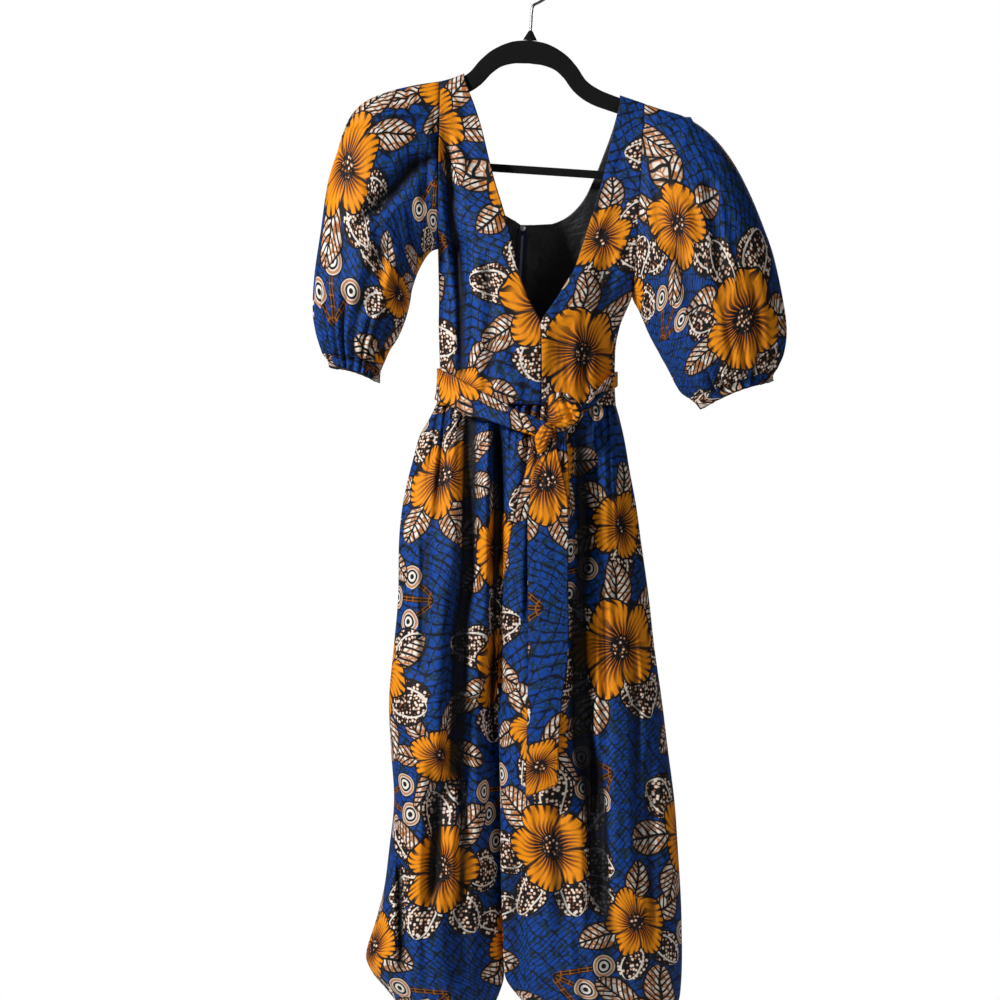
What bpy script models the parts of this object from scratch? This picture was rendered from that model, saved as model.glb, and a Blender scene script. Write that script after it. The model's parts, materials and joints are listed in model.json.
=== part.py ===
# A balloon-leg jumpsuit in printed cotton, hanging on a slim velvet-covered hanger.
# The origin is the inside top of the hanger's hook, where a rail holds it.
# +Z is up, the front faces -Y, and sides are named as seen from the front:
# "_l" lies at -X and "_r" at +X. Tables are in millimetres; meshes are in metres.
import math

import bmesh
import bpy
from mathutils import Vector

MM = 0.001
CLOTH = 2.0            # thickness of a sewn cloth wall
LINING = 1.2           # thickness of the black lining
SEAM = 0.3             # gap between pieces that are sewn together
HALF = SEAM / 2
REST = 3.5             # cloth's outer face above the hanger's upper edge
TILT = math.radians(3.8)   # the hanger hangs with its right end low

# Hanger, in its own frame: x along the arms, drop measured down from the top of the arch
WIRE = 1.7             # radius of the hook's wire
HOOK_RADIUS = 21.0     # radius of the hook's centreline
HOOK_HEIGHT = 66.0     # hook's centre above the top of the arch
ARM_HALF_THICK = 2.75
BAR_DROP = 151.0       # upper edge of the trouser bar
BAR_HEIGHT = 9.6
BAR_HALF_LENGTH = 176.7
EDGE_BEVEL = 1.7
COLLAR = {"names": ("drop", "wide", "deep", "curve"), "rows": (
    (-0.9, 8.5, 2.7, 0.009), (-3.5, 6.6, 2.7, 0), (-7, 4.6, 2.6, 0), (-11, 2.6, 2.4, 0))}
HOOK_STEM = ((0, -11.3), (0, -24), (0, -36), (1.6, -42), (6.5, -45.2))
HOOK_TURN = (-52, 196)     # degrees swept by the hook's circle
HOOK_STEPS = 17
ARM_EDGE = {"names": ("x", "drop", "height"), "rows": (
    (0, 0, 28), (22, 3.5, 26.5), (43, 14, 23), (58, 28, 21), (70, 43.5, 20), (84, 52.5, 20),
    (103, 59.5, 19), (143, 70.5, 18), (167, 78.5, 16), (181, 86, 14), (192, 97, 12),
    (199, 111, 10.5), (199.5, 127, 9.6), (192, 142, 9.6), (177, 151, 9.6))}

# Waist, zip line and the seam that divides the legs
WAIST = -523.0
CROTCH = -865.0
CENTRE_FRONT = {"names": ("z", "x"), "rows": (
    (-427, 8), (-450, 8.5), (-480, 9), (-505, 9), (-523, 8.5), (-553, 3), (-601, -10),
    (-686, -29), (-757, -39), (-820, -42), (-865, -43))}
CENTRE_BACK = {"names": ("z", "x", "y"), "rows": (
    (-304, -12.8, 34), (-366, -16, 37), (-424, -19, 39), (-480, -21, 40), (-523, -22, 40),
    (-601, -36, 47), (-686, -42, 50), (-757, -44, 50), (-865, -43, 48))}
NOTCH = 2.2            # half gap left at the top of the back seam for the zip's slider
NOTCH_FOOT = -314.0
ZIP_MARGIN = 4.2       # the lining stops this far from the zip's line

# Armhole: depth of its front and back halves at a share t of the way from shoulder to underarm
ARMHOLE = {"names": ("t", "depth"), "rows": (
    (0.0, 0.15), (0.007, 4.4), (0.033, 6.6), (0.16, 14), (0.30, 21), (0.46, 28), (0.62, 33),
    (0.77, 33), (0.90, 25), (0.96, 15), (1.0, 0.15))}
ARMHOLE_DEPTH = 33.0
SHOULDER_ROWS = (0.0, 0.007, 0.033)

SIDES = {
    "l": {
        "sign": -1,
        "shoulder_x": -112.2, "neck_x": -83.5,
        "underarm": (-114.8, -336.0),
        "front_neck": {"names": ("t", "x", "z", "y"), "rows": (
            (0.16, -70.5, -166, 13), (0.30, -62, -194, 19), (0.46, -54, -228, 25),
            (0.62, -46, -259, 30), (0.77, -37, -289, 35), (0.90, -29, -318, 39),
            (1.0, -24.5, -338, 42))},
        "back_neck": {"names": ("t", "x", "z", "y"), "rows": (
            (0.16, -74, -166, 12), (0.30, -69, -197, 17), (0.46, -62, -230, 22),
            (0.62, -52, -262, 26), (0.77, -38, -289, 30))},
        "side": {"names": ("z", "x"), "rows": (
            (-336, -114.8), (-366, -114.2), (-396, -113.6), (-424, -114.0), (-450, -113.4),
            (-480, -112.5), (-505, -113.5), (-523, -117))},
    },
    "r": {
        "sign": 1,
        "shoulder_x": 132.8, "neck_x": 103.6,
        "underarm": (118.0, -393.6),
        "front_neck": {"names": ("t", "x", "z", "y"), "rows": (
            (0.12, 95.5, -193, 12), (0.25, 88.5, -226, 18), (0.38, 82, -253, 23),
            (0.50, 75, -279, 28), (0.62, 66.4, -306, 32), (0.74, 57, -336, 36),
            (0.86, 47, -364, 41), (0.95, 37, -380, 44), (1.0, 29, -394, 46))},
        "back_neck": {"names": ("t", "x", "z", "y"), "rows": (
            (0.12, 96, -189, 12), (0.25, 84, -222, 18), (0.38, 73.5, -248, 22),
            (0.50, 60, -275, 27), (0.62, 40, -295, 31), (0.70, 16, -304, 33))},
        "side": {"names": ("z", "x"), "rows": (
            (-393.6, 118), (-403, 109.6), (-424, 104.6), (-450, 98.8), (-466, 97.2), (-480, 97.4),
            (-505, 97.5), (-523, 98.6))},
    },
}
FRONT_BODICE_COLUMNS = 8
BACK_BODICE_COLUMNS = 6
V_POINT = -427.0
LEFT_NECK_FOOT = {"names": ("z", "x"), "rows": ((-338, -25.5), (-366, -18.5), (-396, -7.5), (-427, 7.5))}
FRONT_CENTRE = {"names": ("z", "y"), "rows": (
    (-366, 45), (-396, 48), (-427, 50), (-450, 50), (-480, 48), (-505, 46), (-522.85, 45))}
BACK_CENTRE = {"names": ("z", "left_side_z", "right_side_z"), "rows": (
    (-304, -303, -338), (-314, -311, -350), (-318, -320, -362), (-340, -336, -378),
    (-366, -366, -393.6), (-396, -396, -408), (-424, -424, -424), (-450, -450, -450),
    (-480, -480, -480), (-505, -505, -505), (-522.85, -522.85, -522.85))}
FRONT_BULGE = 2.0
BACK_BULGE = 1.0

# Sleeve sections: upper point, lower point and how far the section swells to front and back.
# "round" runs from 0, the armhole's shape, to 1, an ellipse; "puff" is the cuff's gathering.
SLEEVE_NAMES = ("ax", "az", "bx", "bz", "front", "back", "round", "puff")
SLEEVES = {
    "l": (
        (-112.2, -134.0, -114.8, -336.0, 33, 33, 0.0, 0), (-142.4, -139.2, -122, -338.4, 38, 36, 0.35, 0),
        (-176, -147.6, -128, -344.4, 44, 40, 0.65, 0), (-206, -162, -134, -354, 49, 44, 0.85, 0),
        (-224, -184.8, -138.8, -363.6, 53, 48, 1, 0), (-234.8, -217.2, -142.4, -373.2, 56, 50, 1, 0),
        (-246.8, -256.8, -146, -385.2, 58, 52, 1, 0), (-255.2, -313.2, -148.5, -400.8, 58, 52, 1, 0),
        (-262.4, -367.2, -155, -421.2, 55, 50, 1, 0), (-263.6, -411.6, -165.6, -442.8, 50, 46, 1, 0.8),
        (-259, -438, -176, -457, 43, 40, 1, 1.8), (-251.5, -462, -183.5, -474, 35, 32, 1, 2.6)),
    "r": (
        (132.8, -159.0, 118, -393.6, 33, 33, 0.0, 0), (152.8, -168, 120.4, -399.6, 39, 37, 0.35, 0),
        (181.6, -180, 125.2, -408, 46, 42, 0.65, 0), (211.6, -198, 131.2, -421.2, 52, 46, 0.85, 0),
        (237.6, -229.6, 137.2, -435.6, 57, 50, 1, 0), (258, -267.4, 143.2, -447.6, 60, 53, 1, 0),
        (275, -308.4, 149.2, -458.4, 62, 54, 1, 0), (288, -346.2, 156.4, -471.6, 61, 54, 1, 0),
        (297.6, -393.6, 163.6, -483.6, 57, 51, 1, 0), (301.6, -433.2, 172, -498, 51, 47, 1, 0.8),
        (297.5, -462, 180, -508, 43, 40, 1, 1.8), (289.6, -480.5, 188.5, -514, 35, 32, 1, 2.6)),
}
CUFF_NAMES = ("ax", "az", "bx", "bz", "front", "back", "puff")
SLEEVE_CUFFS = {
    "l": ((-251.2, -462.6, -183.8, -474.6, 35, 32, 2.2), (-246, -471, -185.5, -485, 33, 30, 1.2),
          (-243.2, -478.8, -187.5, -496, 34, 31, 2.4)),
    "r": ((289.5, -481.1, 189.0, -514.6, 35, 32, 2.2), (286, -488.5, 195.5, -521, 33, 30, 1.2),
          (284.8, -495.6, 202.5, -527.5, 34, 31, 2.4)),
}
SLEEVE_COLUMNS = 20

# Legs: outer edge, inner edge below the crotch, and depth of the front and back.
# "fullness" shapes the front's inner half: under 1 it stays full, over 1 it falls away.
LEGS = {
    "l": {
        "outer": {"names": ("z", "x"), "rows": (
            (-523, -117), (-540, -125.5), (-559, -136.4), (-584, -143.6), (-617, -152), (-648, -158),
            (-686, -161.6), (-755, -162.8), (-810, -167.6), (-878, -173.6), (-937, -171.2),
            (-998, -167.6), (-1057, -173.6), (-1103, -179.6), (-1141, -189.2), (-1183, -201.2),
            (-1203, -194), (-1221, -179), (-1235, -167.6), (-1255, -152), (-1273, -143))},
        "inner": {"names": ("z", "x"), "rows": (
            (-865, -43.2), (-900, -42.6), (-967, -40.6), (-1081, -39.6), (-1150, -37.2), (-1195, -36),
            (-1213, -36.5), (-1235, -44), (-1255, -53), (-1273, -62))},
        "foot": -1273.0, "fullness": 1.5,
    },
    "r": {
        "outer": {"names": ("z", "x"), "rows": (
            (-523, 98.6), (-541, 103.6), (-568, 109.6), (-604, 115.6), (-642, 122.8), (-686, 128.8),
            (-755, 138.4), (-810, 144.4), (-878, 154), (-937, 161.2), (-998, 169), (-1057, 173.2),
            (-1117, 176.8), (-1166, 178), (-1192, 178), (-1216, 177), (-1237, 174.4), (-1265, 164),
            (-1290, 149), (-1312, 136))},
        "inner": {"names": ("z", "x"), "rows": (
            (-865, -42.8), (-900, -41.8), (-967, -39.8), (-1081, -38.8), (-1150, -36.4), (-1195, -35),
            (-1213, -31.5), (-1237, -13), (-1265, 14), (-1290, 37), (-1312, 52))},
        "foot": -1312.0, "fullness": 0.75,
    },
}
LEG_DEPTH = {"names": ("z", "front", "back"), "rows": (
    (-523, 45, 40), (-560, 50, 43), (-601, 55, 47), (-686, 58, 50), (-757, 60, 50), (-865, 61, 48),
    (-967, 62, 47), (-1081, 64, 50), (-1166, 62, 50), (-1203, 56, 46), (-1237, 46, 40),
    (-1273, 36, 33), (-1312, 33, 31))}
# Share of each leg's own roundness in its section: 0 shares one arch with the other leg
LEG_PART = {"names": ("z", "front", "back"), "rows": (
    (-523, 0.0, 0.0), (-560, 0.06, 0.02), (-601, 0.14, 0.05), (-686, 0.24, 0.12), (-757, 0.40, 0.28),
    (-820, 0.70, 0.62), (-865, 1.0, 1.0))}
HIP_ROWS = (-523.15, -540, -560, -585, -622, -672, -725, -780, -828, -865)
LEG_STEPS = (0.12, 0.27, 0.42, 0.56, 0.68, 0.79, 0.87, 0.94, 1.0)
LEG_LEAN = 0.28        # the inner halves lean, so the right leg overlaps the left
FRONT_COLUMNS = 20
BACK_COLUMNS = 12
GATHER_COLUMNS = 4     # five gathers across each front and three across each back
GATHER_DEPTH = 6.0
GATHER_FOOT = -720.0   # the gathers have faded out here
PUCKER_DEPTH = 2.8     # gathering above the leg's cuff
PUCKER_RISE = 70.0
LEG_CUFF_COLUMNS = 36
LEG_CUFF_RINGS = ((HALF, 0.0), (14.0, 3.0), (28.0, 1.0))     # drop below the leg, squeeze
LEG_CUFF_RIPPLE = 1.4

# Long folds: valleys have a depth above 0 and ridges below 0
FOLD_NAMES = ("x_top", "z_top", "x_foot", "z_foot", "half_width", "depth")
FRONT_FOLDS = (
    (-38, -535, -43, -850, 13, 21), (-73, -540, -64, -700, 10, 13), (-96, -650, -99, -985, 21, 17),
    (58, -545, 64, -690, 13, 15),
    (60, -700, 58, -1010, 22, 11), (-160, -1035, -157, -1215, 8, 12), (-128, -640, -132, -880, 10, 6),
    (20, -880, 34, -1190, 20, 9), (104, -760, 118, -1080, 18, 9), (135, -900, 140, -1200, 11, 8),
    (-92, -1040, -84, -1235, 18, 9), (95, -560, 108, -735, 9, 3), (-118, -930, -126, -1150, 12, 7),
    (-70, -880, -66, -1130, 11, -6), (82, -1060, 92, -1280, 16, 3))
SLEEVE_FOLDS = (
    (-128, -222, -214, -322, 15, 13), (-150, -178, -232, -196, 60, 4), (205, -250, 226, -410, 9, 6),
    (166, -330, 196, -440, 12, 6), (-180, -330, -206, -430, 12, 6))
BACK_FOLDS = (
    (-95, -560, -104, -900, 16, 10), (-130, -620, -138, -1000, 12, 7), (30, -560, 42, -880, 16, 10),
    (80, -600, 96, -1050, 18, 9), (-80, -900, -100, -1200, 18, 9), (120, -880, 134, -1230, 14, 8),
    (30, -940, 70, -1240, 18, 9))
BODICE_FOLDS = (
    (-86, -300, -83, -515, 11, 9), (34, -425, 22, -522, 15, 6), (84, -350, 72, -480, 12, 5))

# Tie belt: upper and lower edge from the side to the knot, and how far it stands off the cloth
BELT_NAMES = ("u", "top", "foot")
BELTS = {
    "l": {"names": BELT_NAMES, "rows": (
        (0.0, -479, -516), (0.25, -487, -524), (0.48, -503, -537), (0.66, -516, -544),
        (0.85, -533, -556), (1.0, -544, -566))},
    "r": {"names": BELT_NAMES, "rows": (
        (0.0, -483, -500), (0.3, -487, -506), (0.55, -498, -514), (0.78, -513, -526),
        (1.0, -527, -537))},
}
BELT_END = {"l": 13.5, "r": 55.5}
BELT_OFF = 3.6
BELT_THICK = 2.4
BELT_LIFT = {"l": 4.3, "r": 5.3}       # how far it rises off the cloth to meet the knot
BELT_COLUMNS = 14
BELT_CREASES = ((0.0, 0.0), (0.32, -1.0), (0.66, 1.4), (1.0, 0.0))       # share of the width, rise
BELT_BACK_MIDDLE = -8.0
BELT_BACK_COLUMNS = 16
BELT_BACK_CREASES = ((0.0, 0.0), (0.35, 0.8), (0.65, 0.8), (1.0, 0.0))
# Knot's loop and the turn below it: outlines as reach by angle, creases as across, along,
# offset and depth of a valley over the front
OUTLINE_NAMES = ("angle", "reach")
KNOTS = {
    "belt_knot": {
        "centre": (37.0, -64.0, -531.5), "front": 12.0, "back": 10.6,
        "outline": {"names": OUTLINE_NAMES, "rows": (
            (-147, 26.0), (-92, 20.0), (-32, 20.5), (-6, 21), (24, 18), (58, 17.5), (88, 20.5),
            (110, 22.5), (139, 25.5), (173, 21.5), (213, 26.0))},
        "creases": ((0.94, 0.34, 4.0, 4.5), (0.5, -0.87, 9.0, 3.0), (-0.8, 0.6, 12.0, 2.2))},
    "belt_knot_wrap": {
        "centre": (10.3, -67.2, -565.0), "front": 7.5, "back": 6.2,
        "outline": {"names": OUTLINE_NAMES, "rows": (
            (-105, 18.5), (-45, 8.0), (0, 8.7), (48, 17.5), (72, 20.0), (120, 11.0), (173, 10.0),
            (215, 10.8), (255, 18.5))},
        "creases": ((0.9, -0.42, 1.0, 2.4),)},
}
KNOT_LATITUDES = (-68, -42, -14, 14, 40, 62, 80)
KNOT_COLUMNS = 20
KNOT_CREASE_WIDTH = 3.4
TAIL_COLUMNS = 6
TAIL_BOW = 2.2
TAIL_NAMES = ("z", "left", "right", "y")
TAILS = {
    "belt_tail_front": {"names": TAIL_NAMES, "rows": (
        (-563, 16.4, 24.5, 61.4), (-574, 15.9, 25.5, 64.2), (-584, 10, 28, 68), (-601, 0.5, 32, 70),
        (-634, -5.5, 39, 71),
        (-661, -8, 40, 72), (-740, -8, 40, 73), (-817, -7.5, 40, 74), (-860, -8, 34, 74.5),
        (-913, -9.2, 29, 75), (-971, -10.4, 28, 75))},
    "belt_tail_behind": {"names": TAIL_NAMES, "rows": (
        (-550.4, 25, 37.5, 59.8), (-560, 25.8, 38, 60), (-573, 26.5, 38.5, 60.6), (-590, 22, 40, 62.5),
        (-612, 12, 41, 65.5),
        (-650, 6, 42, 67), (-720, 3, 38, 68), (-790, 2, 34, 69), (-846, 3, 31, 69.5))},
}
TAIL_SLANT = {"belt_tail_front": 15.0, "belt_tail_behind": 12.0}

# Zip: chain on the inside of the back, slider at its top and the pull tab's pin outside
CHAIN_HEIGHTS = (-316, -340, -366, -396, -424, -450, -480, -504)
CHAIN_STEPS = (-2.8, -0.9, 0.9, 2.8)
CHAIN_SINK = 0.5
CHAIN_THICK = 1.6
PIN_Z = -308.0
PIN_OUT = 5.4          # pin's distance behind the back's outer face
PIN_RADIUS = 0.8
EAR_INNER = 2.4
EAR_OUTER = 3.4
NUB_RADIUS = 3.6
EYE_RADIUS = 2.4
EYE_HALF_WIDTH = 2.0
PULL_SECTIONS = ((4.5, 1.4, 0.6), (12, 1.6, 0.6), (20, 2.9, 0.6), (25, 2.2, 0.6), (27, 0.9, 0.5))

BLUE = (0.02, 0.07, 0.36)
ORANGE = (0.86, 0.35, 0.02)
BLACK = (0.012, 0.012, 0.014)
STEEL = (0.62, 0.62, 0.63)


def remove_everything():
    for thing in list(bpy.data.objects):
        bpy.data.objects.remove(thing, do_unlink=True)


def material(name, colour, roughness, metallic):
    made = bpy.data.materials.new(name)
    made.use_nodes = True
    shader = made.node_tree.nodes["Principled BSDF"]
    shader.inputs["Base Color"].default_value = (*colour, 1)
    shader.inputs["Roughness"].default_value = roughness
    shader.inputs["Metallic"].default_value = metallic
    return made


def add_object(name, bm, colour, roughness=0.8, metallic=0.0):
    bmesh.ops.recalc_face_normals(bm, faces=bm.faces)
    bmesh.ops.scale(bm, vec=(MM, MM, MM), verts=bm.verts)
    mesh = bpy.data.meshes.new(name)
    bm.to_mesh(mesh)
    bm.free()
    mesh.shade_smooth()
    mesh.materials.append(material(name, colour, roughness, metallic))
    made = bpy.data.objects.new(name, mesh)
    bpy.context.scene.collection.objects.link(made)
    return made


def read(table, name, key):
    """Smooth value of a table's column at a key; its first column may rise or fall."""
    rows = table["rows"]
    column = table["names"].index(name)
    turn = 1 if rows[-1][0] > rows[0][0] else -1
    keys = [turn * row[0] for row in rows]
    values = [row[column] for row in rows]
    key = min(max(turn * key, keys[0]), keys[-1])
    i = max(k for k in range(len(keys) - 1) if keys[k] <= key)
    slopes = []
    for k in (i, i + 1):
        a, b = max(k - 1, 0), min(k + 1, len(keys) - 1)
        slopes.append((values[b] - values[a]) / (keys[b] - keys[a]))
    step = keys[i + 1] - keys[i]
    t = (key - keys[i]) / step
    return ((2 * t ** 3 - 3 * t ** 2 + 1) * values[i] + (t ** 3 - 2 * t ** 2 + t) * step * slopes[0]
            + (3 * t ** 2 - 2 * t ** 3) * values[i + 1] + (t ** 3 - t ** 2) * step * slopes[1])


def mix(a, b, t):
    return a + (b - a) * t


def ease(t):
    t = min(max(t, 0.0), 1.0)
    return t * t * (3 - 2 * t)


def fold_at(x, z, folds, start, end=1.0):
    """How far the long folds push the cloth in at x, z; start and end fade them at a panel's edges."""
    total = 0.0
    for x_top, z_top, x_foot, z_foot, half_width, depth in folds:
        along = (z_top - z) / (z_top - z_foot)
        if 0 < along < 1:
            taper = ease(min(along, 1 - along) / 0.3)
            total += depth * taper * math.exp(-((x - mix(x_top, x_foot, along)) / half_width) ** 2)
    return total * ease(start / 0.14) * ease(end / 0.14)


# ---- walls ----

def sample(row, share, ring):
    count = len(row) if ring else len(row) - 1
    where = share * count
    i = int(where)
    following = (i + 1) % len(row) if ring else min(i + 1, len(row) - 1)
    return row[i % len(row)].lerp(row[following], where - i)


def outward(rows, cores, ring):
    """Unit vectors square to the cloth, pointing away from each row's core."""
    found = []
    total = 0.0
    for i, row in enumerate(rows):
        line = []
        for j, point in enumerate(row):
            if ring:
                before, after = row[j - 1], row[(j + 1) % len(row)]
                share = j / len(row)
            else:
                before, after = row[max(j - 1, 0)], row[min(j + 1, len(row) - 1)]
                share = j / (len(row) - 1)
            above = sample(rows[max(i - 1, 0)], share, ring)
            below = sample(rows[min(i + 1, len(rows) - 1)], share, ring)
            square = (after - before).cross(below - above).normalized()
            total += square.dot(point - cores[i])
            line.append(square)
        found.append(line)
    turn = 1 if total > 0 else -1
    return [[turn * square for square in line] for line in found]


def pinned(square, axes):
    """The direction with its part along each seam's axis taken out."""
    if isinstance(axes, Vector):
        return axes
    for axis in axes:
        square = square - axis * square.dot(axis)
    return square.normalized()


def stitch(bm, upper, lower, ring):
    """Faces between two rows of vertices; one row may have twice the other's spaces."""
    def spaces(row):
        return len(row) if ring else len(row) - 1

    def at(row, k):
        return row[k % len(row)]
    if spaces(upper) == spaces(lower):
        for k in range(spaces(upper)):
            bm.faces.new((at(upper, k), at(upper, k + 1), at(lower, k + 1), at(lower, k)))
        return
    fine, coarse = (upper, lower) if spaces(upper) > spaces(lower) else (lower, upper)
    for k in range(spaces(coarse)):
        a, b, c = at(fine, 2 * k), at(fine, 2 * k + 1), at(fine, 2 * k + 2)
        bm.faces.new((a, b, at(coarse, k)))
        bm.faces.new((b, at(coarse, k + 1), at(coarse, k)))
        bm.faces.new((b, c, at(coarse, k + 1)))


def wall(name, rows, cores, seams, colour, ring=False, thick=CLOTH, roughness=0.8):
    """A closed cloth wall: rows of points on its outer face, thickened towards the core."""
    squares = outward(rows, cores, ring)
    bm = bmesh.new()
    outer, inner = [], []
    for i, row in enumerate(rows):
        outer.append([bm.verts.new(point) for point in row])
        inner.append([bm.verts.new(point - thick * pinned(squares[i][j], seams(i, j)))
                      for j, point in enumerate(row)])
    for i in range(len(rows) - 1):
        stitch(bm, outer[i], outer[i + 1], ring)
        stitch(bm, inner[i], inner[i + 1], ring)
    stitch(bm, outer[0], inner[0], ring)
    stitch(bm, outer[-1], inner[-1], ring)
    if not ring:
        for j in (0, -1):
            stitch(bm, [row[j] for row in outer], [row[j] for row in inner], False)
    return add_object(name, bm, colour, roughness)


AXIS_X, AXIS_Y, AXIS_Z = Vector((1, 0, 0)), Vector((0, 1, 0)), Vector((0, 0, 1))


# ---- hanger ----

def place(x, drop, y=0.0):
    """A point of the hanger's own frame, in the part's frame."""
    arch_x = -HOOK_HEIGHT * math.sin(TILT)
    arch_z = -(HOOK_RADIUS - WIRE) - HOOK_HEIGHT * math.cos(TILT)
    return Vector((arch_x + x * math.cos(TILT) - drop * math.sin(TILT), y,
                   arch_z - x * math.sin(TILT) - drop * math.cos(TILT)))


def arm_top(x):
    """Height of the hanger's upper edge under a point x of the part."""
    sign = 1 if x > place(0, 0).x else -1
    low, high = 0.0, 190.0
    for _ in range(30):
        middle = (low + high) / 2
        found = place(sign * middle, read(ARM_EDGE, "drop", middle)).x
        if sign * found < sign * x:
            low = middle
        else:
            high = middle
    return place(sign * low, read(ARM_EDGE, "drop", low)).z


def tube(bm, rings):
    made = [[bm.verts.new(point) for point in ring] for ring in rings]
    for upper, lower in zip(made, made[1:]):
        stitch(bm, upper, lower, True)
    bm.faces.new(made[0])
    bm.faces.new(made[-1])


def make_arms():
    rows = ARM_EDGE["rows"]
    stations = []
    for sign in (-1, 1):
        half = []
        for i, (x, drop, height) in enumerate(rows):
            before, after = rows[max(i - 1, 0)], rows[min(i + 1, len(rows) - 1)]
            run = Vector((after[0] - before[0], after[1] - before[1])).normalized()
            if i == 0:
                run = Vector((1, 0))
            inward = Vector((-run.y, run.x))
            half.append([(sign * (x + inward.x * deep), drop + inward.y * deep, side)
                         for deep, side in edge_ring(height)])
        stations.append(half)
    left = stations[0][:0:-1]
    rings = [[place(x, drop, side * ARM_HALF_THICK) for x, drop, side in ring]
             for ring in left + stations[1]]
    bm = bmesh.new()
    tube(bm, rings)
    add_object("hanger_arms", bm, BLACK, 0.9)


def edge_ring(height):
    """Section of a flat hanger limb: depth from its upper edge, and side from -1 to 1."""
    return ((0, -0.4), (0, 0.4), (EDGE_BEVEL, 1), (height - EDGE_BEVEL, 1),
            (height, 0.4), (height, -0.4), (height - EDGE_BEVEL, -1), (EDGE_BEVEL, -1))


def make_bar():
    rings = [[place(share * BAR_HALF_LENGTH, BAR_DROP + deep, side * ARM_HALF_THICK)
              for deep, side in edge_ring(BAR_HEIGHT)] for share in (-1.0, -0.33, 0.33, 1.0)]
    bm = bmesh.new()
    tube(bm, rings)
    add_object("hanger_bar", bm, BLACK, 0.9)


def circle(count):
    return [math.tau * k / count for k in range(count)]


def make_collar():
    """The tapered neck that grips the hook's wire; its foot follows the arch."""
    rings = []
    for drop, wide, deep, curve in COLLAR["rows"]:
        rings.append([place(wide * math.cos(a), drop + curve * (wide * math.cos(a)) ** 2,
                            deep * math.sin(a)) for a in circle(12)])
    bm = bmesh.new()
    tube(bm, rings)
    add_object("hanger_collar", bm, BLACK, 0.9)


def hook_path():
    """Centreline of the wire: up from the collar, out to the right, round and over to the left."""
    points = list(HOOK_STEM)
    for k in range(HOOK_STEPS + 1):
        angle = math.radians(mix(HOOK_TURN[0], HOOK_TURN[1], k / HOOK_STEPS))
        points.append((HOOK_RADIUS * math.cos(angle), -HOOK_HEIGHT - HOOK_RADIUS * math.sin(angle)))
    return points


def make_hook():
    path = hook_path()
    rings = []
    for i, (x, drop) in enumerate(path):
        before, after = path[max(i - 1, 0)], path[min(i + 1, len(path) - 1)]
        run = Vector((after[0] - before[0], after[1] - before[1])).normalized()
        rings.append([place(x - run.y * WIRE * math.cos(a), drop + run.x * WIRE * math.cos(a),
                            WIRE * math.sin(a)) for a in circle(10)])
    bm = bmesh.new()
    tube(bm, rings)
    add_object("hanger_hook", bm, STEEL, 0.25, 1.0)


# ---- bodice ----

def armhole_point(side, t):
    """The armhole's seam line at a share t from the shoulder to the underarm, without depth."""
    sizes = SIDES[side]
    foot_x, foot_z = sizes["underarm"]
    top_x = sizes["shoulder_x"]
    top_z = arm_top(top_x) + REST
    return mix(top_x, foot_x, t), mix(top_z, foot_z, t)


def armhole_axis(side):
    top, foot = armhole_point(side, 0), armhole_point(side, 1)
    return Vector((foot[1] - top[1], 0, top[0] - foot[0])).normalized()


def arch_row(start, end, columns, face, folds=(), bulge=0.0):
    """A quarter ellipse from a side point to a centre point, each (x, depth, z)."""
    row = []
    for k in range(columns + 1):
        u = k / columns
        angle = u * math.pi / 2
        x = mix(start[0], end[0], mix(1 - math.cos(angle), u, 0.35))
        z = mix(start[2], end[2], u)
        depth = mix(start[1], end[1], math.sin(angle)) + bulge * math.sin(math.pi * u)
        depth -= fold_at(x, z, folds, u)
        row.append(Vector((x, face * depth, z)))
    return row


def shoulder_rows(side, columns, face):
    """The first rows, which bend over the hanger's arm."""
    sizes = SIDES[side]
    rows = []
    for t in SHOULDER_ROWS:
        depth = max(read(ARMHOLE, "depth", t), HALF)
        row = []
        for k in range(columns + 1):
            x = mix(armhole_point(side, t)[0] - sizes["sign"] * HALF, sizes["neck_x"], k / columns)
            drop = t * (armhole_point(side, 0)[1] - sizes["underarm"][1])
            row.append(Vector((x, face * depth, arm_top(x) + REST - drop)))
        rows.append(row)
    return rows


def bodice_rows(side, face, columns):
    """Rows of one bodice panel: over the arm, down beside the neck, then down the side seam."""
    sizes = SIDES[side]
    sign = sizes["sign"]
    rows = shoulder_rows(side, columns, face)
    neck = sizes["front_neck" if face < 0 else "back_neck"]
    for t, x, z, depth in neck["rows"]:
        arm_x, arm_z = armhole_point(side, t)
        start = (arm_x - sign * HALF, max(read(ARMHOLE, "depth", t), HALF), arm_z)
        rows.append(arch_row(start, (x, depth, z), columns, face, BODICE_FOLDS if face < 0 else ()))
    for z_side, x_side, z, x, depth in centre_rows(side, face):
        start = (x_side, side_depth(side, z_side), z_side)
        rows.append(arch_row(start, (x, depth, z), columns, face, BODICE_FOLDS if face < 0 else (),
                             FRONT_BULGE if face < 0 else BACK_BULGE))
    return rows


def side_depth(side, z):
    """Half the seam's gap below the underarm; the armhole's depth above it."""
    top, foot = armhole_point(side, 0)[1], SIDES[side]["underarm"][1]
    if z <= foot:
        return HALF
    return max(read(ARMHOLE, "depth", (top - z) / (top - foot)), HALF)


def side_x(side, z):
    top, foot = armhole_point(side, 0)[1], SIDES[side]["underarm"][1]
    if z <= foot:
        return read(SIDES[side]["side"], "x", z)
    return armhole_point(side, (top - z) / (top - foot))[0] - SIDES[side]["sign"] * HALF


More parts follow.
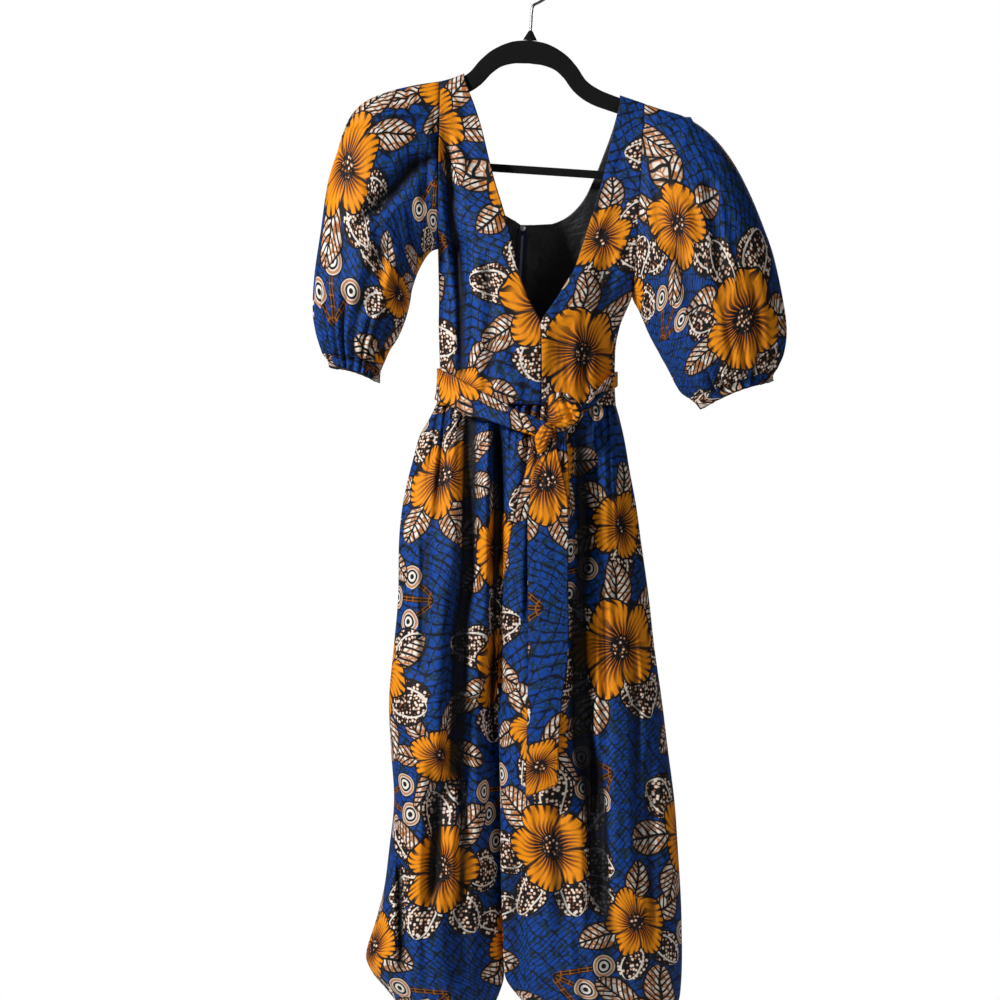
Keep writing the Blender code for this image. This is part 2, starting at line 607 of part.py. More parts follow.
def centre_rows(side, face):
    """Rows that end on the centre seam (or the front neck's last stretch): side z and x, then z, x, depth."""
    sign = SIDES[side]["sign"]
    found = []
    if face < 0:
        for z, depth in FRONT_CENTRE["rows"]:
            if z > V_POINT:
                if side == "r":
                    continue
                x = read(LEFT_NECK_FOOT, "x", z)
            else:
                x = read(CENTRE_FRONT, "x", z) + sign * HALF
            found.append((z, side_x(side, z), z, x, depth))
        return found
    for z, left_side_z, right_side_z in BACK_CENTRE["rows"]:
        z_side = left_side_z if side == "l" else right_side_z
        gap = NOTCH if z >= NOTCH_FOOT else HALF
        x = read(CENTRE_BACK, "x", z) + sign * gap
        found.append((z_side, side_x(side, z_side), z, x, read(CENTRE_BACK, "y", z)))
    return found


def make_bodice():
    for side, sizes in SIDES.items():
        for face, word, columns in ((-1, "front", FRONT_BODICE_COLUMNS), (1, "back", BACK_BODICE_COLUMNS)):
            rows = bodice_rows(side, face, columns)
            seams = bodice_seams(side, rows, face)
            cores = [Vector((sizes["sign"] * 20, 0, row[0].z - 4)) for row in rows]
            wall("bodice_%s_%s" % (word, side), rows, cores, seams, BLUE)


def bodice_seams(side, rows, face):
    underarm = SIDES[side]["underarm"][1]
    armhole = armhole_axis(side)
    centre_top = V_POINT + 0.5 if face < 0 else -303.0

    def seams(i, j):
        axes = []
        if i == 0:
            axes.append(AXIS_Y)
        if i == len(rows) - 1:
            axes.append(AXIS_Z)
        if j == 0:
            axes.append(armhole if rows[i][0].z > underarm + 0.5 else AXIS_Y)
        if j == len(rows[i]) - 1 and rows[i][-1].z < centre_top:
            axes.append(AXIS_X)
        if len(axes) == 2 and i == 0:
            return Vector((0, 0, 1))
        return axes
    return seams


def make_lining():
    """Black lining of the back, which shows through the open neck; it stops short of the zip."""
    for side, sizes in SIDES.items():
        sign = sizes["sign"]
        rows = bodice_rows(side, 1, BACK_BODICE_COLUMNS)
        cores = [Vector((sign * 20, 0, row[0].z - 4)) for row in rows]
        squares = outward(rows, cores, False)
        seams = bodice_seams(side, rows, 1)
        inside = []
        for i in range(len(SHOULDER_ROWS), len(rows) - 1):
            line = [point - (CLOTH + SEAM) * pinned(squares[i][j], seams(i, j))
                    for j, point in enumerate(rows[i])]
            if rows[i][-1].z <= CENTRE_BACK["rows"][0][0]:
                line[-1].x = read(CENTRE_BACK, "x", line[-1].z) + sign * ZIP_MARGIN
            inside.append(line)
        cores = [Vector((sign * 20, 0, row[0].z - 4)) for row in inside]

        def lining_seams(i, j):
            return (AXIS_Y,) if j == 0 and inside[i][0].y < 1 else ()
        wall("back_lining_%s" % side, inside, cores, lining_seams, BLACK, thick=LINING, roughness=0.7)


# ---- sleeves ----

def sleeve_ring(side, row, names, columns, first=False):
    sizes = dict(zip(names, row))
    upper = Vector((sizes["ax"], 0, sizes["az"]))
    lower = Vector((sizes["bx"], 0, sizes["bz"]))
    sign = SIDES[side]["sign"]
    if first:
        upper = Vector((armhole_point(side, 0)[0] + sign * HALF, 0, armhole_point(side, 0)[1]))
        lower = lower + Vector((sign * HALF, 0, 0))
    elif abs(upper.x) < 190:
        upper.z = max(upper.z, arm_top(upper.x) + REST)
    centre = (upper + lower) / 2
    ring = []
    for k in range(columns):
        angle = math.tau * k / columns
        t = (1 - math.cos(angle)) / 2
        oval = abs(math.sin(angle))
        cut = read(ARMHOLE, "depth", t) / ARMHOLE_DEPTH
        if k == 0 or 2 * k == columns:
            cut = oval = 0.0
        swell = mix(cut, oval ** 0.9, sizes.get("round", 1.0))
        point = upper.lerp(lower, t)
        if angle < math.pi:
            point.y = -sizes["front"] * swell + fold_at(point.x, point.z, SLEEVE_FOLDS, oval / 2)
        else:
            point.y = sizes["back"] * swell
        ripple = sizes["puff"] * (1 if k % 2 else -1)
        ring.append(point + (point - centre).normalized() * ripple)
    return ring


def make_sleeves():
    for side, table in SLEEVES.items():
        rows = []
        for i, row in enumerate(table):
            fine = i >= len(table) - 4
            rows.append(sleeve_ring(side, row, SLEEVE_NAMES, SLEEVE_COLUMNS * (2 if fine else 1), i == 0))
        cores = [sum(row, Vector()) / len(row) for row in rows]
        armhole = armhole_axis(side)
        last = Vector((table[-1][2] - table[-1][0], 0, table[-1][3] - table[-1][1])).normalized()
        mouth = Vector((-last.z, 0, last.x))

        def seams(i, j, foot=len(rows) - 1, armhole=armhole, mouth=mouth):
            if i == 0:
                return (armhole,)
            return (mouth,) if i == foot else ()
        wall("sleeve_%s" % side, rows, cores, seams, BLUE, ring=True)
        cuff = [sleeve_ring(side, row, CUFF_NAMES, SLEEVE_COLUMNS * 2) for row in SLEEVE_CUFFS[side]]
        cores = [sum(row, Vector()) / len(row) for row in cuff]
        wall("sleeve_cuff_%s" % side, cuff, cores, lambda i, j, mouth=mouth: (mouth,), BLUE, ring=True)


# ---- legs ----

def leg_point(side, face, z, u, part):
    """A point of a leg's outer face: u runs from the side seam to the centre seam or inseam."""
    sizes = LEGS[side]
    sign = SIDES[side]["sign"]
    outer = read(sizes["outer"], "x", z)
    depth = read(LEG_DEPTH, "front" if face < 0 else "back", z)
    middle = read(CENTRE_FRONT if face < 0 or z < CROTCH else CENTRE_BACK, "x", max(z, CROTCH)) + sign * HALF
    inner = read(sizes["inner"], "x", min(z, CROTCH))
    if z >= CROTCH:
        inner = middle
    quarter = u * math.pi / 2
    shared_x = mix(outer, middle, mix(1 - math.cos(quarter), u, 0.35))
    shared_y = math.sin(quarter)
    half = u * math.pi
    own_x = mix(outer, inner, mix((1 - math.cos(half)) / 2, u, 0.25))
    power = mix(0.8, sizes["fullness"], ease(2 * u - 0.8)) if face < 0 else 0.8
    own_y = math.sin(half) ** power if 0 < u < 1 else 0.0
    x = mix(shared_x, own_x, part)
    y = max(depth * mix(shared_y, own_y, part), HALF)
    lean = LEG_LEAN * ease((CROTCH - z) / 30) * ease((z - sizes["foot"]) / 40) * ease((u - 0.35) / 0.45)
    return x + face * y * lean, y


def leg_rows(side, face, columns):
    word = "front" if face < 0 else "back"
    foot = LEGS[side]["foot"]
    folds = FRONT_FOLDS if face < 0 else BACK_FOLDS
    rows = []
    for z in HIP_ROWS + tuple(mix(CROTCH, foot + HALF, step) for step in LEG_STEPS):
        part = read(LEG_PART, word, z) if z > CROTCH else 1.0
        row = []
        for k in range(columns + 1):
            u = k / columns
            x, y = leg_point(side, face, z, u, part)
            y -= fold_at(x, z, folds, u, mix(1.0, 1 - u, part))
            edge = ease(u / 0.1) * ease(mix(1.0, 1 - u, part) / 0.1)
            gather = GATHER_DEPTH * ease((WAIST - z) / 70) * ease((z - GATHER_FOOT) / 130)
            y += gather * edge * math.cos(math.tau * k / GATHER_COLUMNS)
            pucker = PUCKER_DEPTH * ease((foot + PUCKER_RISE - z) / PUCKER_RISE)
            y += pucker * edge * (1 if k % 2 else -1)
            row.append(Vector((x, face * max(y, HALF), z)))
        rows.append(row)
    return rows


def make_legs():
    crotch_row = len(HIP_ROWS) - 1
    for side, sizes in LEGS.items():
        for face, word, columns in ((-1, "front", FRONT_COLUMNS), (1, "back", BACK_COLUMNS)):
            rows = leg_rows(side, face, columns)
            cores = [Vector((row[0].x * 0.5 + row[-1].x * 0.5, 0, row[0].z)) for row in rows]

            def seams(i, j, rows=rows):
                axes = []
                if i in (0, len(rows) - 1):
                    axes.append(AXIS_Z)
                if j == 0:
                    axes.append(AXIS_Y)
                if j == len(rows[i]) - 1:
                    if i == crotch_row:
                        return Vector((0, 0, -1))
                    axes.append(AXIS_X if i < crotch_row else AXIS_Y)
                return axes
            wall("leg_%s_%s" % (word, side), rows, cores, seams, BLUE)
        make_leg_cuff(side, sizes["foot"])


def make_leg_cuff(side, foot):
    """Gathered band at the bottom of a leg."""
    rings = []
    for drop, squeeze in LEG_CUFF_RINGS:
        ring = []
        for k in range(LEG_CUFF_COLUMNS):
            share = 2 * k / LEG_CUFF_COLUMNS
            face, u = (-1, share) if share <= 1 else (1, 2 - share)
            x, y = leg_point(side, face, foot, u, 1.0)
            centre = (read(LEGS[side]["outer"], "x", foot) + read(LEGS[side]["inner"], "x", foot)) / 2
            point = Vector((x, face * (y if 0 < u < 1 else 0), foot - drop))
            away = Vector((x - centre, point.y, 0)).normalized()
            ripple = LEG_CUFF_RIPPLE if k % 2 else -LEG_CUFF_RIPPLE
            ring.append(point + away * (ripple - squeeze))
        rings.append(ring)
    cores = [sum(ring, Vector()) / len(ring) for ring in rings]
    wall("leg_cuff_%s" % side, rings, cores, lambda i, j: (AXIS_Z,), BLUE, ring=True)


# ---- belt ----

def belt_point(side, face, u, z, end):
    """A point just outside the cloth at the waist, from the side (u 0) to x = end (u 1)."""
    sign = SIDES[side]["sign"]
    if z > WAIST:
        outer = read(SIDES[side]["side"], "x", z)
        depth = 48.0 if face < 0 else 40.0
    else:
        outer = read(LEGS[side]["outer"], "x", z)
        depth = read(LEG_DEPTH, "front" if face < 0 else "back", z)
    quarter = u * math.pi / 2
    x = mix(outer + sign * BELT_OFF, end, mix(1 - math.cos(quarter), u, 0.35))
    return x, (depth + 2.0 + BELT_OFF) * math.sin(quarter) ** 0.85


def make_belt():
    for side, table in BELTS.items():
        rows = []
        for share, crease in BELT_CREASES:
            row = []
            for k in range(BELT_COLUMNS + 1):
                u = k / BELT_COLUMNS
                z = mix(read(table, "top", u), read(table, "foot", u), share)
                x, y = belt_point(side, -1, u, z, BELT_END[side])
                y += crease * ease(6 * u) + BELT_LIFT[side] * ease((u - 0.55) / 0.45)
                row.append(Vector((x, -max(y, HALF), z)))
            rows.append(row)
        cores = [Vector((0, 0, row[0].z)) for row in rows]

        def seams(i, j):
            return (AXIS_Y,) if j == 0 else ()
        wall("belt_front_%s" % side, rows, cores, seams, BLUE, thick=BELT_THICK)
    make_belt_back()


def make_belt_back():
    rows = []
    for share, crease in BELT_BACK_CREASES:
        row = []
        for k in range(BELT_BACK_COLUMNS + 1):
            along = k / BELT_BACK_COLUMNS
            side, u = ("l", 2 * along) if along <= 0.5 else ("r", 2 - 2 * along)
            top = mix(read(BELTS["l"], "top", 0), read(BELTS["r"], "top", 0), along)
            foot = mix(read(BELTS["l"], "foot", 0), read(BELTS["r"], "foot", 0), ease(1.6 * along - 0.6))
            z = mix(top, foot, share)
            x, y = belt_point(side, 1, u, z, BELT_BACK_MIDDLE)
            row.append(Vector((x, max(y + crease * ease(4 * u), HALF), z)))
        rows.append(row)
    cores = [Vector((0, 0, row[0].z)) for row in rows]

    def seams(i, j):
        return (AXIS_Y,) if j in (0, BELT_BACK_COLUMNS) else ()
    wall("belt_back", rows, cores, seams, BLUE, thick=BELT_THICK)


def knot_reach(outline, angle):
    """Radius of a knot's outline at an angle in degrees; the table goes once round from its first row."""
    first = outline["rows"][0][0]
    return read(outline, "reach", first + (angle - first) % 360)


def make_knots():
    for name, sizes in KNOTS.items():
        rings = []
        for latitude in KNOT_LATITUDES:
            level = math.radians(latitude)
            ring = []
            for k in range(KNOT_COLUMNS):
                angle = 360 * k / KNOT_COLUMNS
                reach = knot_reach(sizes["outline"], angle) * math.cos(level) ** 0.75
                x, z = reach * math.cos(math.radians(angle)), reach * math.sin(math.radians(angle))
                y = -sizes["front" if latitude > 0 else "back"] * math.sin(level)
                for across, along, offset, depth in sizes["creases"]:
                    distance = (across * x + along * z - offset) / KNOT_CREASE_WIDTH
                    y += depth * math.exp(-distance ** 2) * max(math.sin(level), 0)
                ring.append(Vector(sizes["centre"]) + Vector((x, y, z)))
            rings.append(ring)
        bm = bmesh.new()
        tube(bm, rings)
        add_object(name, bm, ORANGE, 0.8)


def make_tails():
    for name, table in TAILS.items():
        rows = []
        heights = [row[0] for row in table["rows"]]
        for z in heights:
            row = []
            for k in range(TAIL_COLUMNS + 1):
                u = k / TAIL_COLUMNS
                drop = TAIL_SLANT[name] * (1 - u) * (z == heights[-1])
                bow = TAIL_BOW * math.sin(math.pi * u) * ease((heights[0] - z) / 40)
                x = mix(read(table, "left", z), read(table, "right", z), u)
                row.append(Vector((x, -(read(table, "y", z) + bow), z - drop)))
            rows.append(row)
        cores = [Vector((row[0].x, 0, row[0].z)) for row in rows]
        wall(name, rows, cores, lambda i, j: (), ORANGE, thick=BELT_THICK)


# ---- zip ----

def box(bm, low, high):
    made = bmesh.ops.create_cube(bm, size=1.0)["verts"]
    for vert in made:
        vert.co = [low[k] + (high[k] - low[k]) * (vert.co[k] + 0.5) for k in range(3)]


def barrel(bm, centre, radius, length, axis, sides):
    made = bmesh.ops.create_cone(bm, cap_ends=True, segments=sides, radius1=radius, radius2=radius,
                                 depth=length)["verts"]
    for vert in made:
        x, y, z = vert.co
        vert.co = Vector(centre) + (Vector((z, x, y)) if axis == "X" else Vector((x, z, y)))


def joined(name, shapes, colour, roughness, metallic):
    """One closed solid from overlapping shapes."""
    made = []
    for build, values in shapes:
        bm = bmesh.new()
        build(bm, *values)
        made.append(add_object(name + "_piece", bm, colour, roughness, metallic))
    base = made[0]
    for other in made[1:]:
        union = base.modifiers.new("join", "BOOLEAN")
        union.operation = "UNION"
        union.object = other
        union.solver = "EXACT"
    bpy.context.view_layer.update()
    graph = bpy.context.evaluated_depsgraph_get()
    mesh = bpy.data.meshes.new_from_object(base.evaluated_get(graph))
    for other in made:
        bpy.data.objects.remove(other, do_unlink=True)
    result = bpy.data.objects.new(name, mesh)
    mesh.name = name
    bpy.context.scene.collection.objects.link(result)
    return result


def make_zip():
    middle = read(CENTRE_BACK, "x", PIN_Z)
    back = read(CENTRE_BACK, "y", PIN_Z)
    rows = []
    for z in CHAIN_HEIGHTS:
        x, y = read(CENTRE_BACK, "x", z), read(CENTRE_BACK, "y", z) - CLOTH - SEAM - CHAIN_SINK
        rows.append([Vector((x + step, y, z)) for step in CHAIN_STEPS])
    cores = [Vector((row[0].x, 0, row[0].z)) for row in rows]
    wall("zip_chain", rows, cores, lambda i, j: (AXIS_X,), BLACK, thick=CHAIN_THICK, roughness=0.5)
    inside = back - CLOTH - 0.6
    outside = back + PIN_OUT
    pin = (middle, outside, PIN_Z)
    ears = [(box, ((middle + a, back + 0.6, PIN_Z - 2.0), (middle + b, outside + 1.6, PIN_Z + 2.0)))
            for a, b in ((-EAR_OUTER, -EAR_INNER), (EAR_INNER, EAR_OUTER))]
    joined("zip_slider", [
        (box, ((middle - 1.4, inside - 0.8, PIN_Z - 2.6), (middle + 1.4, back + 1.0, PIN_Z + 2.6))),
        (barrel, ((middle, inside - 0.9, PIN_Z + 0.3), NUB_RADIUS, 1.8, "Y", 14)),
        (box, ((middle - EAR_OUTER, back + 0.5, PIN_Z - 5.0), (middle + EAR_OUTER, back + 1.7, PIN_Z + 4.6))),
        *ears,
        (barrel, (pin, PIN_RADIUS, 2 * EAR_OUTER - 1.2, "X", 10))], STEEL, 0.35, 0.9)
    make_pull(pin)


def make_pull(pin):
    """Pull tab: an eye round the slider's pin, drawn down into a flat drop-shaped tab."""
    x, y, z = pin
    bm = bmesh.new()
    loops = []
    for radius in (EYE_RADIUS, PIN_RADIUS + 0.5):
        for step in (-EYE_HALF_WIDTH, EYE_HALF_WIDTH):
            loops.append([bm.verts.new((x + step, y + radius * math.cos(a), z + radius * math.sin(a)))
                          for a in (math.tau * (k + 0.5) / 12 for k in range(12))])
    left, right, hole_left, hole_right = loops
    for first, second in ((left, right), (right, hole_right), (hole_right, hole_left), (hole_left, left)):
        stitch(bm, first, second, True)
    lowest = min(bm.faces, key=lambda face: face.calc_center_median().z)
    for drop, half_width, half_thick in PULL_SECTIONS:
        made = bmesh.ops.extrude_face_region(bm, geom=[lowest])["geom"]
        bmesh.ops.delete(bm, geom=[lowest], context="FACES_ONLY")
        lowest = [item for item in made if isinstance(item, bmesh.types.BMFace)][0]
        for vert in lowest.verts:
            vert.co.x = x + math.copysign(half_width, vert.co.x - x)
            vert.co.y = y + math.copysign(half_thick, vert.co.y - y)
            vert.co.z = z - drop
    add_object("zip_pull", bm, STEEL, 0.35, 0.9)


remove_everything()
make_arms()
make_bar()
make_collar()
make_hook()
make_bodice()
make_lining()
make_sleeves()
make_legs()
make_belt()
make_knots()
make_tails()
make_zip()
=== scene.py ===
import bisect
import json
import math

import bmesh
import bpy
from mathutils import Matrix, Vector, noise

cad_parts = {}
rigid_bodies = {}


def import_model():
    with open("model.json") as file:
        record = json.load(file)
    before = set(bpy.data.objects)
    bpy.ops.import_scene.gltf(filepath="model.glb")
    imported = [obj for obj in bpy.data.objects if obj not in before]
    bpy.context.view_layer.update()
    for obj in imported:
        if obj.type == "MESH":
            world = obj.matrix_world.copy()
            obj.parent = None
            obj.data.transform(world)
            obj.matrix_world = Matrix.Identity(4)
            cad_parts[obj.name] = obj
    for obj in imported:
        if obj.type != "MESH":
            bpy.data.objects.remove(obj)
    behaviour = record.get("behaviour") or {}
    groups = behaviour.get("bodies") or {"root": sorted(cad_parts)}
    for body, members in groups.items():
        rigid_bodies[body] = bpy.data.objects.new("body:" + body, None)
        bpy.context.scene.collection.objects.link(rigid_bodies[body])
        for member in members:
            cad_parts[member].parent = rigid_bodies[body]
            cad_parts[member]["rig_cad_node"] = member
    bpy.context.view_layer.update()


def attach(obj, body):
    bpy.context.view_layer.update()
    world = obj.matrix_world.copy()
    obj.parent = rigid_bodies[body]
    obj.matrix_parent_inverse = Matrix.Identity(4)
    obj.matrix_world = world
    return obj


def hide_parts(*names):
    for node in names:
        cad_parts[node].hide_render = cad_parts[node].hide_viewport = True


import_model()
cadNodes = {o["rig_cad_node"]: o for o in bpy.context.scene.objects if "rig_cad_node" in o}
hangingBody, pullBody = "jumpsuit_on_hanger", "zip_pull_tab"
mm = 0.001              # the tables are in millimetres; the studio and the meshes are in metres
weldGap = 0.00002       # points nearer than this become one

studio = {
    "aim": (-0.0404, 0.0, -0.637), "distance": 3.4, "frameWidth": 1.2, "sensor": 36,
    "white": (1, 1, 1, 1), "skyLight": 0.085,
    "floorHeight": -1.75, "floorRadius": 2.3, "floorTint": (0.86, 0.86, 0.85, 1), "floorRoughness": 0.8,
    "lamps": (   # place, size, watts
        ((-2.3, -1.7, 0.8), 0.45, 104), ((1.7, -2.6, -0.2), 1.2, 9), ((0.4, 2.2, 0.8), 1.6, 40)),
}


def addObject(name, data):
    made = bpy.data.objects.new(name, data)
    bpy.context.scene.collection.objects.link(made)
    return made


def setCamera():
    camera = bpy.data.cameras.new("studioCamera")
    camera.sensor_width = studio["sensor"]
    camera.lens = studio["sensor"] * studio["distance"] / studio["frameWidth"]
    holder = addObject("studioCamera", camera)
    holder.location = Vector(studio["aim"]) + Vector((0, -studio["distance"], 0))
    holder.rotation_euler = (math.pi / 2, 0, 0)
    bpy.context.scene.camera = holder


def setLamps():
    for k, (spot, size, watts) in enumerate(studio["lamps"]):
        lamp = bpy.data.lights.new("softLamp%d" % k, "AREA")
        lamp.size, lamp.energy = size, watts
        stand = addObject("softLamp%d" % k, lamp)
        stand.location = spot
        stand.rotation_euler = (Vector(studio["aim"]) - Vector(spot)).to_track_quat("-Z", "Y").to_euler()


def setSky():
    # weak light from all round, and a white wall where the camera looks past the jumpsuit
    world = bpy.data.worlds.new("studioSky")
    bpy.context.scene.world = world
    world.use_nodes = True
    nodes, links = world.node_tree.nodes, world.node_tree.links
    sky, wall = nodes["Background"], nodes.new("ShaderNodeBackground")
    for shade in (sky, wall):
        shade.inputs["Color"].default_value = studio["white"]
    sky.inputs["Strength"].default_value = studio["skyLight"]
    path = nodes.new("ShaderNodeLightPath")
    choose = nodes.new("ShaderNodeMixShader")
    links.new(path.outputs["Is Camera Ray"], choose.inputs[0])
    links.new(sky.outputs[0], choose.inputs[1])
    links.new(wall.outputs[0], choose.inputs[2])
    links.new(choose.outputs[0], nodes["World Output"].inputs["Surface"])
    bpy.context.scene.view_settings.view_transform = "Standard"


def setFloor():
    bm = bmesh.new()
    bmesh.ops.create_circle(bm, cap_ends=True, segments=96, radius=studio["floorRadius"])
    bmesh.ops.translate(bm, vec=(studio["aim"][0], 0, studio["floorHeight"]), verts=bm.verts)
    mesh = bpy.data.meshes.new("studioFloor")
    bm.to_mesh(mesh)
    bm.free()
    paint = bpy.data.materials.new("paleFloor")
    paint.use_nodes = True
    shader = paint.node_tree.nodes["Principled BSDF"]
    shader.inputs["Base Color"].default_value = studio["floorTint"]
    shader.inputs["Roughness"].default_value = studio["floorRoughness"]
    mesh.materials.append(paint)
    addObject("studioFloor", mesh)


setCamera()
setLamps()
setSky()
setFloor()
print("studio set")


class Wire:
    # one socket of a material, with arithmetic that adds Math nodes

    def __init__(self, shop, socket):
        self.shop, self.socket = shop, socket

    def __add__(self, other):
        return self.shop.maths("ADD", self, other)

    def __sub__(self, other):
        return self.shop.maths("SUBTRACT", self, other)

    def __rsub__(self, other):
        return self.shop.maths("SUBTRACT", other, self)

    def __mul__(self, other):
        return self.shop.maths("MULTIPLY", self, other)

    def __truediv__(self, other):
        return self.shop.maths("DIVIDE", self, other)

    def __rtruediv__(self, other):
        return self.shop.maths("DIVIDE", other, self)

    def __pow__(self, other):
        return self.shop.maths("POWER", self, other)

    def __abs__(self):
        return self.shop.maths("ABSOLUTE", self)

    __radd__, __rmul__ = __add__, __mul__


class Finish:
    # a material under construction

    def __init__(self, name):
        self.material = bpy.data.materials.new(name)
        self.material.use_nodes = True
        self.tree = self.material.node_tree
        self.shader = self.tree.nodes["Principled BSDF"]

    def feed(self, socket, value):
        if isinstance(value, Wire):
            self.tree.links.new(value.socket, socket)
        else:
            socket.default_value = value

    def node(self, kind, settings, inputs, out=0):
        made = self.tree.nodes.new("ShaderNode" + kind)
        for key, value in settings.items():
            setattr(made, key, value)
        for key, value in inputs.items():
            self.feed(made.inputs[key], value)
        return Wire(self, made.outputs[out])

    def set(self, **inputs):
        for key, value in inputs.items():
            self.feed(self.shader.inputs[key.replace("_", " ")], value)

    def maths(self, operation, *values):
        return self.node("Math", {"operation": operation}, dict(enumerate(values)))

    def least(self, a, b):
        return self.maths("MINIMUM", a, b)

    def most(self, a, b):
        return self.maths("MAXIMUM", a, b)

    def below(self, value, edge, soft=0.35):
        # 1 where the value is under the edge, 0 above it
        return self.node("MapRange", {"interpolation_type": "SMOOTHSTEP"}, {
            "Value": value, "From Min": edge - soft, "From Max": edge + soft, "To Min": 1.0, "To Max": 0.0})

    def paint(self, under, over, mask):
        return self.node("Mix", {"data_type": "RGBA"}, {0: mask, 6: under, 7: over}, out=2)

    def vector(self, x, y, z=0.0):
        return self.node("CombineXYZ", {}, {0: x, 1: y, 2: z})

    def parts(self, vector):
        made = self.node("SeparateXYZ", {}, {0: vector})
        return [Wire(self, socket) for socket in made.socket.node.outputs]

    def noiseAt(self, vector, scale, detail=2.0):
        return self.node("TexNoise", {}, {"Vector": vector, "Scale": scale, "Detail": detail})

    def measured(self, name):
        # a measure that clothPiece stores on each point
        return self.node("Attribute", {"attribute_name": name}, {}, out=2)

    def ownSpot(self):
        return self.node("TexCoord", {}, {}, out=3)

    def bump(self, height, distance, strength, over=None):
        inputs = {"Height": height, "Distance": distance, "Strength": strength}
        if over is not None:
            inputs["Normal"] = over
        return self.node("Bump", {}, inputs)


def colour(red, green, blue):
    return (red, green, blue, 1.0)


# Print, in millimetres on the flat cloth: two staggered sets of blossoms ringed by leaves and dotted
# lobes, with ringed beads on cords in the gaps, on a hatched and crackled blue ground.
printLook = {
    "spacing": (226.0, 238.0), "crackleCell": 10.5, "dotScale": 0.22, "wobbleScale": 0.016,
    "hatch": {
        "gap": 3.9, "bend": 26, "lean": 30, "fray": 3.0, "first": 0.80, "second": 0.76, "crack": 0.075},
    "bouquets": (   # offset of the grid, blossom's radius, leaves in the ring
        ((113.0, 92.0), 42.0, 6), ((0.0, 0.0), 57.0, 7)),
    "vary": {"scale": 0.86, "more": 0.22, "x": 12, "y": 14, "bendX": 26, "bendY": 21},
    # start, long, wide, base, swell and heart are shares of the blossom's radius
    "leaf": {"start": 0.62, "long": 0.88, "wide": 0.35, "veinGap": 4.3},
    "petal": {"count": 5, "base": 0.66, "swell": 0.33, "heart": 0.25},
    "bead": {"offset": (113.0, -96.0), "spread": 0.62, "cord": 44.0, "vary": 12.0, "link": 5.5,
             "cordHalf": 3.4, "neck": 11.0, "radius": 15.4, "face": 13.8, "ring": 11.4, "core": 7.4,
             "eye": 3.2},
    "blue": colour(0.003, 0.056, 0.330), "navy": colour(0.002, 0.005, 0.018),
    "olive": colour(0.008, 0.030, 0.020), "orange": colour(0.93, 0.300, 0.002),
    "amber": colour(0.68, 0.150, 0.002), "cream": colour(0.88, 0.82, 0.72),
    "brown": colour(0.46, 0.135, 0.008), "ink": colour(0.006, 0.006, 0.008),
}
fullTurn = 6.283        # radians


def cellGrid(f, x, y, offset):
    # staggered cells: position from the cell's centre, and three uneven numbers for the cell
    wide, tall = printLook["spacing"]
    row = f.maths("FLOOR", (y + offset[1]) / tall)
    shifted = (x + offset[0]) / wide + f.maths("PINGPONG", row, 1.0) * 0.5
    column = f.maths("FLOOR", shifted)
    seed = f.node("TexWhiteNoise", {"noise_dimensions": "3D"},
                  {"Vector": f.vector(column, row, offset[0])}, out=1)
    localX = (shifted - column - 0.5) * wide
    localY = ((y + offset[1]) / tall - row - 0.5) * tall
    return localX, localY, f.parts(seed)


def turned(f, x, y, angle):
    c, s = f.maths("COSINE", angle), f.maths("SINE", angle)
    return x * c - y * s, x * s + y * c


def radiusAt(f, x, y):
    return f.maths("SQRT", x * x + y * y)


def groundColour(f, x, y, wobble, crackle):
    # two sets of brushed lines that sweep together, over dye cracks
    look, hatch = printLook, printLook["hatch"]
    bend = wobble * hatch["bend"]
    lean = f.maths("SINE", x * 0.015 + y * 0.009) * hatch["lean"]
    fine = f.noiseAt(f.vector(x, y), 0.10) - 0.5
    across = x * 0.56 + y * 0.83 + bend + lean + fine * 4
    firstSet = f.maths("PINGPONG", across, hatch["gap"]) - fine * hatch["fray"]
    across = x * 0.86 - y * 0.50 + bend * 1.2 - lean * 0.4 + fine * 6
    secondSet = f.maths("PINGPONG", across, hatch["gap"] * 1.9) - fine * hatch["fray"]
    olive = f.below(crackle - fine * 0.22, hatch["crack"], 0.06)
    base = f.paint(look["blue"], look["olive"], olive * 0.9)
    base = f.paint(base, look["navy"], f.below(firstSet, hatch["first"], 0.5) * 0.97)
    return f.paint(base, look["navy"], f.below(secondSet, hatch["second"], 0.5) * 0.94)


